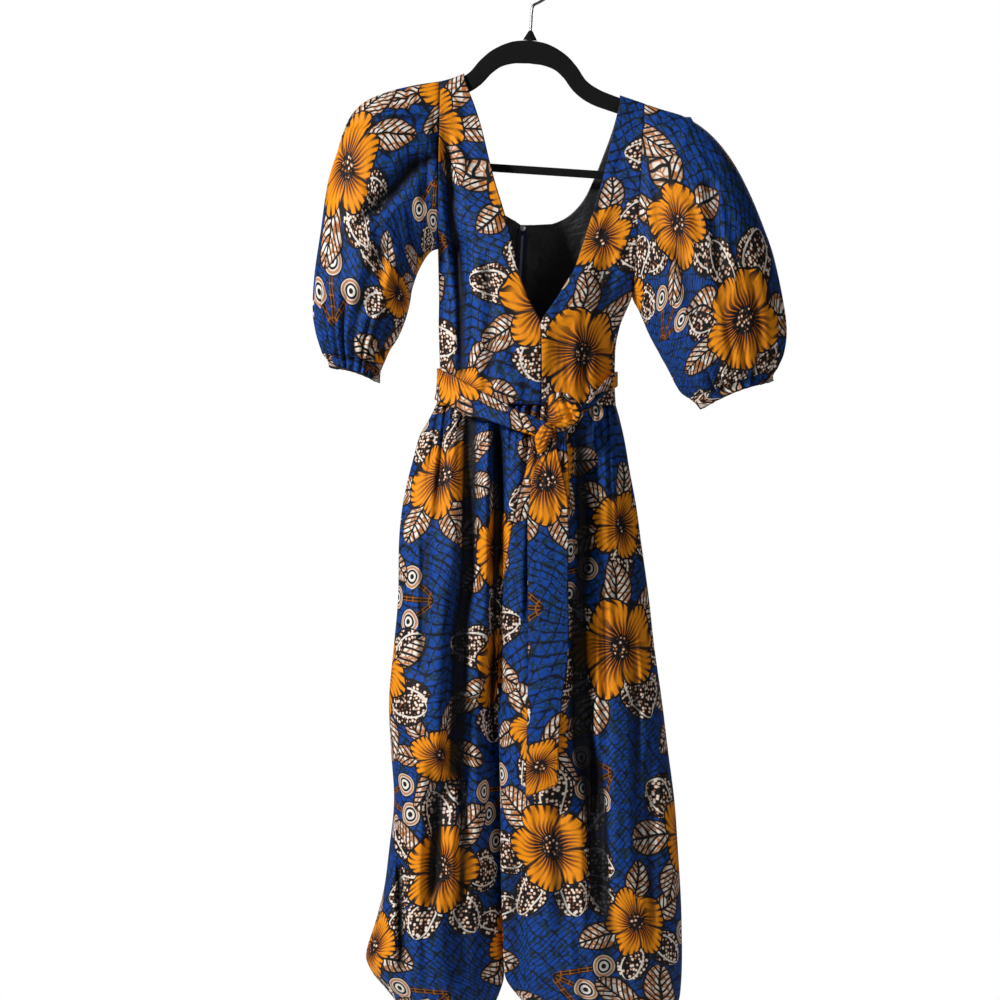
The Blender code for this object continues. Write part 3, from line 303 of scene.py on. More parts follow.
def beadColour(f, x, y, under):
    # cords of links spread from one point, each with a ringed bead at its end
    look, bead = printLook, printLook["bead"]
    localX, localY, seeds = cellGrid(f, x, y, bead["offset"])
    px, py = turned(f, localX, localY + 4, seeds[0] * fullTurn)
    angle = f.maths("ARCTAN2", px, py)
    sector = f.maths("ROUND", angle / bead["spread"])
    inside = f.below(abs(sector), 1.5, 0.01)
    away = radiusAt(f, px, py)
    across = away * f.maths("SINE", angle - sector * bead["spread"])
    reach = bead["cord"] + f.maths("SINE", sector * 2.4 + seeds[1] * 6.0) * bead["vary"]
    links = f.maths("PINGPONG", away, bead["link"])
    cord = f.below(abs(across), bead["cordHalf"], 0.3) * f.below(away, reach) * inside
    rim = f.below(abs(abs(across) - 1.9), 0.5, 0.25) + f.below(links, 0.9, 0.3)
    under = f.paint(under, look["ink"], cord)
    under = f.paint(under, look["brown"], cord * f.least(rim, 1.0) * 0.7)
    gone = away - reach - bead["neck"]
    off = radiusAt(f, gone, across)
    under = f.paint(under, look["ink"], f.below(off, bead["radius"]) * inside)
    ringTone = f.paint(look["cream"], look["brown"], f.below(abs(off - bead["ring"]), 1.5, 1.2) * 0.9)
    under = f.paint(under, ringTone, f.below(off, bead["face"]) * inside)
    under = f.paint(under, look["ink"], f.below(abs(off - bead["core"]), 1.3, 0.4) * inside)
    return f.paint(under, look["ink"], f.below(off, bead["eye"], 0.4) * inside)


def leafRing(f, under, away, angle, seeds, wobble, crackle, dots, size, leaves):
    # veined cream leaves and dark dotted lobes, in uneven turn round the blossom
    look, shape = printLook, printLook["leaf"]
    step = math.tau / leaves
    sector = f.maths("FLOOR", angle / step)
    turn = angle - (sector + 0.5) * step
    kind = f.maths("FRACT", f.maths("SINE", sector * 7.13 + seeds[1] * 30) * 43.7)
    leafLong = size * shape["long"] + 9 + kind * 8
    start = size * shape["start"]
    share = f.node("Clamp", {}, {0: (away * f.maths("COSINE", turn) - start) / leafLong})
    across = away * f.maths("SINE", turn) - f.maths("SINE", share * 3.0) * (kind - 0.5) * 15
    belly = (share * (1 - share) * 4) ** 0.66
    fan = f.below(kind, 0.45, 0.01)
    width = (size * shape["wide"] + fan * 5.0) * belly
    edge = abs(across) - width
    shown = f.below(abs(share - 0.5), 0.498, 0.003)
    under = f.paint(under, look["ink"], f.most(f.below(edge, 2.6) * shown, f.below(away, size * 0.97, 2.0)))
    vein = f.maths("PINGPONG", share * leafLong - abs(across) * 0.95 + wobble * 24, shape["veinGap"])
    veins = f.most(f.below(vein, 1.6, 0.4), f.below(abs(across), 1.5, 0.3))
    tint = f.most(f.below(crackle, 0.10, 0.10), f.below(width - abs(across), 2.8, 3.0) * 0.75)
    leaf = f.paint(f.paint(look["cream"], look["brown"], tint), look["ink"], veins)
    lobe = f.paint(look["ink"], f.paint(look["brown"], look["cream"], f.below(dots, 0.38, 0.07)),
                   f.below(dots, 0.47, 0.05))
    rib = f.below(abs(abs(across) - width * 0.62), 1.1, 0.3)
    lobe = f.paint(lobe, look["cream"], rib * 0.9)
    return f.paint(under, f.paint(leaf, lobe, fan), f.below(edge, 0.0) * shown)


def blossom(f, under, away, angle, seeds, wobble, dots, size):
    # rounded petals with strokes from the dotted heart and from the rim
    look, shape = printLook, printLook["petal"]
    ripple = abs(f.maths("COSINE", angle * (shape["count"] / 2) + seeds[2] * 9 + wobble * 2)) ** 0.5
    uneven = f.maths("SINE", angle * 7 + seeds[1] * 20) * 2.2
    rim = size * (shape["base"] + ripple * shape["swell"]) + uneven
    swirl = f.maths("SINE", away * 0.075 + seeds[0] * 6) * 1.1
    strokes = f.maths("PINGPONG", angle * 10.5 + swirl + wobble * 12, 1.0)
    spread = away / rim
    inner = f.below(spread, 0.62, 0.38)
    outer = 1 - f.below(spread, 0.84, 0.14)
    body = f.below(away - rim, 0.0)
    under = f.paint(under, look["ink"], f.below(away - rim, 1.8))
    under = f.paint(under, f.paint(look["orange"], look["amber"], f.below(spread, 0.48, 0.3) * 0.9),
                    f.below(away - rim, -0.6))
    ink = f.below(strokes - (0.17 + inner * 0.60 + outer * 0.26), 0.0, 0.06) * f.most(inner, outer) * body
    split = f.below(ripple, 0.38, 0.08) * body * (1 - f.below(spread, 0.2, 0.1))
    under = f.paint(under, look["ink"], f.most(ink, split * 0.95))
    heart = f.below(away, size * shape["heart"] + f.maths("SINE", angle * 11) * 1.6, 1.4)
    under = f.paint(under, look["ink"], heart)
    middle = f.below(away, size * 0.20)
    under = f.paint(under, look["brown"], f.below(dots, 0.42, 0.06) * middle)
    return f.paint(under, look["cream"], f.below(dots, 0.28, 0.06) * middle)


def bouquetColour(f, x, y, under, wobble, crackle, dots, offset, size, leaves):
    # each bouquet is shifted, turned and scaled a little in its own cell
    vary = printLook["vary"]
    localX, localY, seeds = cellGrid(f, x, y, offset)
    scale = vary["scale"] + seeds[1] * vary["more"]
    localX = (localX + (seeds[2] - 0.5) * vary["x"]) / scale
    localY = (localY + (seeds[0] - 0.5) * vary["y"]) / scale
    px, py = turned(f, localX, localY, seeds[0] * fullTurn)
    px, py = px + wobble * vary["bendX"], py - wobble * vary["bendY"]
    away = radiusAt(f, px, py)
    angle = f.maths("ARCTAN2", py, px)
    under = leafRing(f, under, away, angle, seeds, wobble, crackle, dots, size, leaves)
    return blossom(f, under, away, angle, seeds, wobble, dots, size)


# the fold values set the painted shade in the folds: how deep a hollow starts it, how softly it grows, how
# dark it gets and how blue it is
clothLook = {
    "weavePitch": 0.55, "weaveDepth": 0.00006, "crinkleDepth": 0.0007, "seamDepth": 0.0006,
    "stitchDepth": 0.0002, "stitchGap": 2.6, "stitchIn": 5.0, "sheen": 0.012, "roughness": 0.62,
    "foldStart": 3.6, "foldSoft": 4.6, "foldShade": 0.970, "foldTint": 0.03,
}


def addCloth(f, x, y, base, depth=1.0):
    # weave, crinkles, seams and stitches that any cloth of the jumpsuit shares, with painted shade along
    # seams, stitch lines and in the folds
    look = clothLook
    pitch = math.tau / look["weavePitch"]
    threads = f.maths("SINE", x * pitch) * f.maths("SINE", y * pitch)
    crinkle = f.noiseAt(f.vector(x, y), 0.045, 3.0)
    slub = f.noiseAt(f.vector(x * 0.15, y * 2.2), 0.5, 1.0)
    edge = f.measured("seamDistance")
    dip = f.below(edge, 0.9, 0.9)
    stitchLine = f.below(abs(edge - look["stitchIn"]), 0.35, 0.2)
    along = f.measured("seamLength")
    stitch = stitchLine * f.below(f.maths("PINGPONG", along, look["stitchGap"] / 2), 0.9, 0.15)
    # painted shade in the seam groove where two pieces meet, and along the stitch line between the stitches
    base = f.paint(base, printLook["ink"], dip * 0.55)
    base = f.paint(base, f.paint(base, printLook["navy"], 0.6), stitchLine * (1 - stitch) * 0.5)
    # painted shade: the deeper a point lies in a fold's hollow, the darker its colour, leaning to blue; the
    # slub is the yarn's own uneven tone
    hollow = f.measured("foldDepth")
    shade = f.below(look["foldStart"] - hollow, 0.0, look["foldSoft"]) * look["foldShade"]
    tone = (0.93 + slub * 0.14) * (1 - shade)
    tint = f.node("CombineColor", {}, {0: tone, 1: tone + 0.006, 2: tone + look["foldTint"]})
    base = f.node("Mix", {"data_type": "RGBA", "blend_type": "MULTIPLY"}, {0: 1.0, 6: base, 7: tint}, out=2)
    height = f.bump(crinkle, look["crinkleDepth"] * depth * 9, 0.55)
    height = f.bump(threads * 0.5 + slub, look["weaveDepth"], 0.8, over=height)
    height = f.bump(1 - dip, look["seamDepth"], 0.8, over=height)
    height = f.bump(stitch, look["stitchDepth"], 0.8, over=height)
    rough = look["roughness"] + crinkle * 0.16 - slub * 0.08
    return base, height, rough


def flatCloth(f):
    # the piece's flat cut, in millimetres
    x, y, _ = f.parts(f.node("UVMap", {"uv_map": "cut"}, {}))
    return x * 1000, y * 1000


def waxPrintFinish():
    f, look = Finish("waxPrint"), printLook
    x, y = flatCloth(f)
    wobble = f.noiseAt(f.vector(x, y), look["wobbleScale"], 1.0) - 0.5
    crackle = f.node("TexVoronoi", {"feature": "DISTANCE_TO_EDGE"}, {
        "Vector": f.vector(x + wobble * 12, y * 1.15), "Scale": 1 / look["crackleCell"]})
    dots = f.node("TexVoronoi", {}, {
        "Vector": f.vector(x + wobble * 20, y), "Scale": look["dotScale"], "Randomness": 0.6})
    tone = beadColour(f, x, y, groundColour(f, x, y, wobble, crackle))
    for offset, size, leaves in look["bouquets"]:
        tone = bouquetColour(f, x, y, tone, wobble, crackle, dots, offset, size, leaves)
    base, height, rough = addCloth(f, x, y, tone)
    f.set(Base_Color=base, Normal=height, Roughness=rough, Sheen_Weight=clothLook["sheen"],
          Sheen_Roughness=0.5, Specular_IOR_Level=0.22)
    return f.material


shades = {   # darkest and lightest shade of each plain finish
    "lining": (colour(0.013, 0.013, 0.015), colour(0.030, 0.031, 0.034)),
    "velvet": (colour(0.0035, 0.0035, 0.004), colour(0.014, 0.014, 0.016)),
    "tape": (colour(0.006, 0.010, 0.035), colour(0.014, 0.022, 0.07)),
    "coil": (colour(0.50, 0.49, 0.47), colour(0.66, 0.65, 0.62)),
}
metals = {
    "steel": {"name": "hookSteel", "tint": (0.24, 0.24, 0.25), "roughness": 0.18, "wear": 0.5},
    "dull": {"name": "sliderMetal", "tint": (0.62, 0.62, 0.63), "roughness": 0.30, "wear": 0.7},
}


def liningFinish():
    f = Finish("blackLining")
    x, y = flatCloth(f)
    base = f.paint(*shades["lining"], f.noiseAt(f.vector(x, y), 0.02))
    base, height, rough = addCloth(f, x, y, base, 1.3)
    f.set(Base_Color=base, Normal=height, Roughness=rough - 0.14, Sheen_Weight=0.25, Sheen_Roughness=0.4,
          Specular_IOR_Level=0.5)
    return f.material


def velvetFinish():
    f = Finish("blackVelvet")
    spot = f.ownSpot()
    fibres = f.noiseAt(spot, 2600.0)
    rubbed = f.noiseAt(spot, 60.0, 3.0)
    f.set(Base_Color=f.paint(*shades["velvet"], fibres * rubbed), Roughness=0.82 + rubbed * 0.15,
          Normal=f.bump(fibres, 0.0004, 0.7), Sheen_Weight=0.35, Sheen_Roughness=0.35,
          Specular_IOR_Level=0.15)
    return f.material


def metalFinish(name, tint, roughness, wear):
    f = Finish(name)
    spot = f.ownSpot()
    brushed = f.node("VectorMath", {"operation": "MULTIPLY"}, {0: spot, 1: (900, 900, 90)})
    scratches = f.noiseAt(brushed, 1.0, 3.0)
    worn = colour(*(part * 0.7 for part in tint))
    f.set(Base_Color=f.paint(colour(*tint), worn, f.noiseAt(spot, 120.0) * wear), Metallic=1.0,
          Roughness=roughness + scratches * 0.14, Normal=f.bump(scratches, 0.00003, 0.5))
    return f.material


def tapeFinish():
    f = Finish("zipTape")
    spot = f.ownSpot()
    x, _, z = f.parts(spot)
    ribs = f.maths("SINE", z * 5200) * 0.5 + f.maths("SINE", x * 9000) * 0.5
    fuzz = f.noiseAt(spot, 900.0)
    f.set(Base_Color=f.paint(*shades["tape"], fuzz), Roughness=0.8 + fuzz * 0.15,
          Normal=f.bump(ribs, 0.0001, 0.7))
    return f.material


def coilFinish():
    f = Finish("nylonCoil")
    cloudy = f.noiseAt(f.ownSpot(), 700.0)
    f.set(Base_Color=f.paint(*shades["coil"], cloudy), Roughness=0.32 + cloudy * 0.15,
          Normal=f.bump(cloudy, 0.00004, 0.5))
    return f.material


finishes = {
    "print": waxPrintFinish(), "lining": liningFinish(), "velvet": velvetFinish(), "tape": tapeFinish(),
    "coil": coilFinish(), "steel": metalFinish(**metals["steel"]), "dull": metalFinish(**metals["dull"]),
}
print("finishes made")


def mix(a, b, t):
    return a + (b - a) * t


def ease(t):
    t = min(max(t, 0.0), 1.0)
    return t * t * (3 - 2 * t)


def between(keys, values, key):
    # smooth value at a key; keys rise, values are numbers or vectors
    key = min(max(key, keys[0]), keys[-1])
    i = min(max(bisect.bisect_right(keys, key) - 1, 0), len(keys) - 2)
    slopes = []
    for k in (i, i + 1):
        a, b = max(k - 1, 0), min(k + 1, len(keys) - 1)
        slopes.append((values[b] - values[a]) / (keys[b] - keys[a]))
    step = keys[i + 1] - keys[i]
    t = (key - keys[i]) / step
    return (values[i] * (2 * t ** 3 - 3 * t ** 2 + 1) + slopes[0] * ((t ** 3 - 2 * t ** 2 + t) * step)
            + values[i + 1] * (3 * t ** 2 - 2 * t ** 3) + slopes[1] * ((t ** 3 - t ** 2) * step))


def table(names, *rows):
    # rows of numbers with named columns
    return {"names": names.split(), "rows": rows}


def read(sizes, name, key):
    # smooth value of a table's column; its first column may rise or fall
    rows = sizes["rows"]
    turn = 1 if rows[-1][0] > rows[0][0] else -1
    column = sizes["names"].index(name)
    return between([turn * row[0] for row in rows], [row[column] for row in rows], turn * key)


def spans(points):
    # length along the points, up to each one
    found = [0.0]
    for a, b in zip(points, points[1:]):
        found.append(found[-1] + (b - a).length)
    return found


def circle(count):
    # cosine and sine round a ring that repeats its first point
    angles = [math.tau * (k % count) / count for k in range(count + 1)]
    return [(math.cos(angle), math.sin(angle)) for angle in angles]


# Folds, creases and gathers push the cloth in by their depth; below 0 it stands out
foldColumns = "xTop zTop xFoot zFoot halfWidth depth"
gatherColumns = "xTop xFoot reach halfWidth depth"
foldShape = {"fade": 0.3, "edgeFade": 0.1, "nearWaist": -540, "waistFade": 3, "steep": 1.25, "gentle": 0.9}
creaseShape = {"over": 0.05, "fade": 0.35, "sharp": 0.6, "soft": 1.3, "lip": 0.45, "lipFade": 0.3,
               "lipAt": 2.2}
gatherShape = {"end": 1.4, "widen": 1.3, "point": 1.5}
farOff = 4              # half widths, past which a crease or gather no longer counts


def foldAt(x, z, folds, start, end=1.0):
    # long folds, faded at their ends and near the panel's two edges
    shape = foldShape
    total = 0.0
    for xTop, zTop, xFoot, zFoot, halfWidth, depth in folds["rows"]:
        along = (zTop - z) / (zTop - zFoot)
        if 0 < along < 1:
            head = along * (shape["waistFade"] if zTop > shape["nearWaist"] else 1)
            taper = ease(min(head, 1 - along) / shape["fade"])
            off = (x - mix(xTop, xFoot, along)) / halfWidth
            off *= shape["steep"] if off < 0 else shape["gentle"]
            total += depth * taper * math.exp(-abs(off) ** 3)
    return total * ease(start / shape["edgeFade"]) * ease(end / shape["edgeFade"])


def creaseAt(x, z, creases):
    # narrow creases in any direction, sharper on one side, with a raised lip beside them
    shape = creaseShape
    over = shape["over"]
    total = 0.0
    for xTop, zTop, xFoot, zFoot, halfWidth, depth in creases["rows"]:
        runX, runZ = xFoot - xTop, zFoot - zTop
        size = math.hypot(runX, runZ)
        along = ((x - xTop) * runX + (z - zTop) * runZ) / size ** 2
        if -over < along < 1 + over:
            off = ((x - xTop) * runZ - (z - zTop) * runX) / size
            if abs(off) < farOff * halfWidth:
                off /= halfWidth * (shape["sharp"] if off > 0 else shape["soft"])
                fade = ease(min(along + over, 1 + over - along) / shape["fade"])
                total += depth * fade * math.exp(-off ** 2)
                lip = shape["lip"] * depth * ease(min(along, 1 - along) / shape["lipFade"])
                total -= lip * math.exp(-(off - shape["lipAt"]) ** 2)
    return total


def gatherAt(x, z, gathers):
    # pinched valleys that run down from the waist, widen and die out
    shape = gatherShape
    total = 0.0
    for xTop, xFoot, reach, halfWidth, depth in gathers["rows"]:
        along = (waist - z) / reach
        if along < shape["end"]:
            half = halfWidth * (1 + shape["widen"] * max(along, 0))
            off = abs(x - mix(xTop, xFoot, along)) / half
            if off < farOff:
                total += depth * (1 - ease(along / shape["end"])) * math.exp(-off ** shape["point"])
    return total


def ruffle(turn, count, seed):
    # uneven gathers round a tube, from the valleys below 0 to the ridges above it
    drift = 0.9 * math.sin(turn * 5 + seed) + 0.6 * math.sin(turn * 11 + 2.3 * seed)
    wave = math.sin((turn * count + drift) * 0.5)
    return (1.6 * abs(wave) - 1) * (0.8 + 0.35 * math.sin(turn * 7 + seed * 3))


def smoothRows(rows, count):
    # as many rows as asked, through the given ones
    middle = len(rows[0]) // 2
    keys = [0.0]
    for upper, lower in zip(rows, rows[1:]):
        keys.append(keys[-1] + max((lower[middle] - upper[middle]).length, 0.3))
    columns = list(zip(*rows))
    return [[between(keys, column, keys[-1] * k / count) for column in columns] for k in range(count + 1)]


def archShare(u):
    # how far across a point lies, on a panel that turns round at its start and is flat at its end
    return mix(1 - math.cos(u * math.pi / 2), u, 0.35)


def camelCase(node):
    first, *others = node.split("_")
    return first + "".join(part.title() for part in others)


def addPiece(node, bm, finish, name=None, body=hangingBody):
    # a finished piece in place of a solid, or beside it where no node is given
    name = name or camelCase(node)
    mesh = bpy.data.meshes.new(name)
    bm.to_mesh(mesh)
    bm.free()
    mesh.shade_smooth()
    mesh.materials.append(finishes[finish])
    made = addObject(name, mesh)
    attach(made, body)
    if node:
        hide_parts(node)
    return made


def gridOf(rows, *layerNames):
    # a grid set on rows of points in millimetres, with the row and column of each of its points
    down, across = len(rows) - 1, len(rows[0]) - 1
    bm = bmesh.new()
    bmesh.ops.create_grid(bm, x_segments=across, y_segments=down, size=0.5)
    layers = [bm.verts.layers.float.new(name) for name in layerNames]
    cells = {}
    for vert in bm.verts:
        i, j = round((0.5 - vert.co.y) * down), round((vert.co.x + 0.5) * across)
        cells[vert] = (i, j)
        vert.co = rows[i][j] * mm
    return bm, cells, layers


def layFlat(bm, spots):
    cut = bm.loops.layers.uv.new("cut")
    for face in bm.faces:
        for loop in face.loops:
            loop[cut].uv = spots[loop.vert]


def closeUp(bm):
    bmesh.ops.remove_doubles(bm, verts=bm.verts, dist=weldGap)
    bmesh.ops.holes_fill(bm, edges=[e for e in bm.edges if e.is_boundary])
    bmesh.ops.recalc_face_normals(bm, faces=bm.faces)


def loft(node, rings, finish, name=None):
    # a closed solid through rings that repeat their first point
    bm, _, _ = gridOf(rings)
    closeUp(bm)
    return addPiece(node, bm, finish, name)


clothForm = {"thickness": 0.8, "hollowReach": 13.0, "noSeam": 99.0, "faceStep": 7}


def hollowAt(row, j, reach, ring):
    # vector from a point to the middle of its neighbours, at the distance where it is longest; its depth
    # sets the painted shade in folds
    last = len(row) - 1
    found = Vector()
    for far, weight in ((max(round(reach / 3), 1), 1.8), (reach, 1.0), (2 * reach, 1.0)):
        if ring:
            pair = row[(j - far) % last], row[(j + far) % last]
        else:
            far = min(far, j, last - j)
            pair = row[j - far], row[j + far]
        here = ((pair[0] + pair[1]) / 2 - row[j]) * weight
        if here.length > found.length:
            found = here
    return found


def faceOut(bm, cores):
    # turn every face of an open sheet away from the points inside it
    bmesh.ops.recalc_face_normals(bm, faces=bm.faces)
    total = 0.0
    for face in list(bm.faces)[::clothForm["faceStep"]]:
        centre = face.calc_center_median() / mm
        near = min(cores, key=lambda c: abs(c.z - centre.z) + 0.3 * abs(c.x - centre.x))
        total += face.normal.dot(centre - near) * face.calc_area()
    if total < 0:
        bmesh.ops.reverse_faces(bm, faces=bm.faces)
    bm.normal_update()


def clothPiece(node, rows, cores, seams="", ring=False, cut=(0.0, 0.0, 0.0), grain=0.5,
               thickness=clothForm["thickness"], finish="print",
               restsOn=(), name=None):
    # One cut piece: rows of points on its outer face, and points inside it. Seams names the sewn sides,
    # cut says where on the print its middle lies and how it is turned, and a ring is closed round a limb.
    shiftX, shiftY, turn = cut
    across = len(rows[0]) - 1
    widths = [spans(row) for row in rows]
    heights = [spans(column) for column in zip(*rows)]
    middle = round(grain * across)
    widest, tallest = max(row[-1] for row in widths), max(column[-1] for column in heights)
    reach = max(round(clothForm["hollowReach"] / (widest / across)), 1)
    bm, cells, layers = gridOf(rows, "seamDistance", "seamLength", "foldDepth")
    edgeLayer, alongLayer, hollowLayer = layers
    spots, hollows = {}, {}
    for vert, (i, j) in cells.items():
        hollows[vert] = hollowAt(rows[i], j, reach, ring)
        x, y = widths[i][j] - widths[i][middle], heights[middle][i]
        spots[vert] = ((x * math.cos(turn) - y * math.sin(turn) + shiftX) * mm,
                       -(x * math.sin(turn) + y * math.cos(turn) + shiftY) * mm)
        gaps = {"l": (widths[i][j], y), "r": (widths[i][-1] - widths[i][j], y),
                "t": (heights[j][i], x), "b": (heights[j][-1] - heights[j][i], x)}
        nearest = min((gaps[s] for s in seams), default=(clothForm["noSeam"], 0.0))
        vert[edgeLayer], vert[alongLayer] = nearest
    layFlat(bm, spots)
    if ring:
        bmesh.ops.remove_doubles(bm, verts=bm.verts, dist=weldGap)
    faceOut(bm, cores)
    for vert in bm.verts:
        # how deep each point lies in a hollow, which the cloth finish turns into painted shade
        vert[hollowLayer] = max(hollows[vert].dot(vert.normal), 0.0)
    area = sum(face.calc_area() for face in bm.faces)
    made = addPiece(node, bm, finish, name)
    shell = made.modifiers.new("thickness", "SOLIDIFY")
    shell.thickness, shell.offset = thickness * mm, -1
    wide, tall = widest * mm, tallest * mm
    min(area, wide * tall)
    print("%s: %.0f x %.0f mm, %.3f of the box" % (made.name, widest, tallest, area / wide / tall))


hanger = {
    "tilt": math.radians(3.8), "wire": 1.7, "hookRadius": 21.0, "hookHeight": 66.0, "armHalf": 2.75,
    "armReach": 190.0, "barDrop": 151.0, "barHeight": 9.6, "barHalf": 176.7, "rest": 3.5,
    "limbSides": 28, "deepPower": 0.28, "widePower": 0.45, "armSteps": 74, "barSteps": 20,
    "collarSteps": 12, "collarSides": 24, "wireSteps": 140, "wireSides": 16, "archCurve": 0.009,
    "hookPoints": 17, "hookTurn": (-52, 196), "hookTip": 1.6,
    "hookStem": table("x drop", (0, -10.5), (0, -24), (0, -36), (1.6, -42), (6.5, -45.2)),
    "armEdge": table(
        "x drop height", (0, 0, 28), (22, 3.5, 26.5), (43, 14, 23), (58, 28, 21), (70, 43.5, 20),
        (84, 52.5, 20), (103, 59.5, 19), (143, 70.5, 18), (167, 78.5, 16), (181, 86, 14), (192, 97, 12),
        (199, 111, 10.5), (199.5, 127, 9.6), (192, 142, 9.6), (177, 151, 9.6)),
    "collar": table(
        "drop wide deep", (-0.4, 8.4, 2.75), (-3.5, 6.6, 2.7), (-7, 4.6, 2.6), (-10.2, 2.9, 2.4),
        (-11, 2.2, 2.0)),
}


def place(x, drop, y=0.0):
    # from the hanger's own tilted frame, with its origin on top of the arms, to the shared frame
    tilt = hanger["tilt"]
    topX = -hanger["hookHeight"] * math.sin(tilt)
    topZ = -(hanger["hookRadius"] - hanger["wire"]) - hanger["hookHeight"] * math.cos(tilt)
    return Vector((topX + x * math.cos(tilt) - drop * math.sin(tilt), y,
                   topZ - x * math.sin(tilt) - drop * math.cos(tilt)))


def armTop(x):
    # height of the hanger's upper edge at a place across, found by halving
    sign = 1 if x > place(0, 0).x else -1
    low, high = 0.0, hanger["armReach"]
    for _ in range(26):
        middle = (low + high) / 2
        if sign * place(sign * middle, read(hanger["armEdge"], "drop", middle)).x < sign * x:
            low = middle
        else:
            high = middle
    return place(sign * low, read(hanger["armEdge"], "drop", low)).z


def limbRing(height):
    # rounded section of a flat limb: depth below its upper edge, and side from its middle
    ring = []
    for c, s in circle(hanger["limbSides"]):
        deep = height / 2 - height / 2 * math.copysign(abs(c) ** hanger["deepPower"], c)
        ring.append((deep, hanger["armHalf"] * math.copysign(abs(s) ** hanger["widePower"], s)))
    return ring


def makeArms():
    rows = hanger["armEdge"]["rows"]
    keys, spots = list(range(len(rows))), [Vector(row) for row in rows]
    last, count, ahead = len(rows) - 1, hanger["armSteps"], 0.1
    rings = []
    for k in range(-count, count + 1):
        s = abs(k) / count * last
        here = between(keys, spots, s)
        run = between(keys, spots, min(s + ahead, last)) - between(keys, spots, max(s - ahead, 0))
        if k == 0:
            run = Vector((1, 0, 0))
        run = Vector((run.x, run.y)).normalized()
        sign = 1 if k >= 0 else -1
        rings.append([place(sign * (here.x - run.y * deep), here.y + run.x * deep, side)
                      for deep, side in limbRing(here.z)])
    loft("hanger_arms", rings, "velvet")


def makeBar():
    steps = hanger["barSteps"]
    rings = [[place(hanger["barHalf"] * k / steps, hanger["barDrop"] + deep, side)
              for deep, side in limbRing(hanger["barHeight"])] for k in range(-steps, steps + 1)]
    loft("hanger_bar", rings, "velvet")


def makeCollar():
    sizes, steps = hanger["collar"], hanger["collarSteps"]
    low, high = sizes["rows"][0][0], sizes["rows"][-1][0]
    rings = []
    for i in range(steps + 1):
        drop = mix(low, high, i / steps)
        wide, deep = read(sizes, "wide", drop), read(sizes, "deep", drop)
        curve = hanger["archCurve"] * ease(1 - i / 3)       # its lower end follows the arch of the arms
        rings.append([place(wide * c, drop + curve * (wide * c) ** 2, deep * s)
                      for c, s in circle(hanger["collarSides"])])
    loft("hanger_collar", rings, "velvet")


def makeHook():
    wire, radius, tip = hanger["wire"], hanger["hookRadius"], hanger["hookTip"]
    steps, ahead = hanger["wireSteps"], 0.4
    path = [Vector((x, drop, 0)) for x, drop in hanger["hookStem"]["rows"]]
    for k in range(hanger["hookPoints"] + 1):
        angle = math.radians(mix(*hanger["hookTurn"], k / hanger["hookPoints"]))
        path.append(Vector((radius * math.cos(angle), -hanger["hookHeight"] - radius * math.sin(angle), 0)))
    keys = spans(path)
    rings = []
    for k in range(steps + 1):
        where = keys[-1] * k / steps
        here = between(keys, path, where)
        run = between(keys, path, min(where + ahead, keys[-1])) - between(keys, path, max(where - ahead, 0))
        run.normalize()
        thick = wire * math.sqrt(max(1 - max(1 - (keys[-1] - where) / tip, 0) ** 2, 0.02))
        rings.append([place(here.x - run.y * thick * c, here.y + run.x * thick * c, thick * s)
                      for c, s in circle(hanger["wireSides"])])
    loft("hanger_hook", rings, "steel")


waist, crotch = -523.0, -865.0
seamHalf = 0.05         # half the gap between two pieces that are sewn together
centreFront = table(
    "z x", (-427, 8), (-450, 8.5), (-480, 9), (-505, 9), (-523, 8.5), (-553, 3), (-601, -10), (-686, -29),
    (-757, -39), (-820, -42), (-865, -43))
centreBack = table(
    "z x y", (-304, -12.8, 34), (-366, -16, 37), (-424, -19, 39), (-480, -21, 40), (-523, -22, 40),
    (-601, -36, 47), (-686, -42, 50), (-757, -44, 50), (-865, -43, 48))

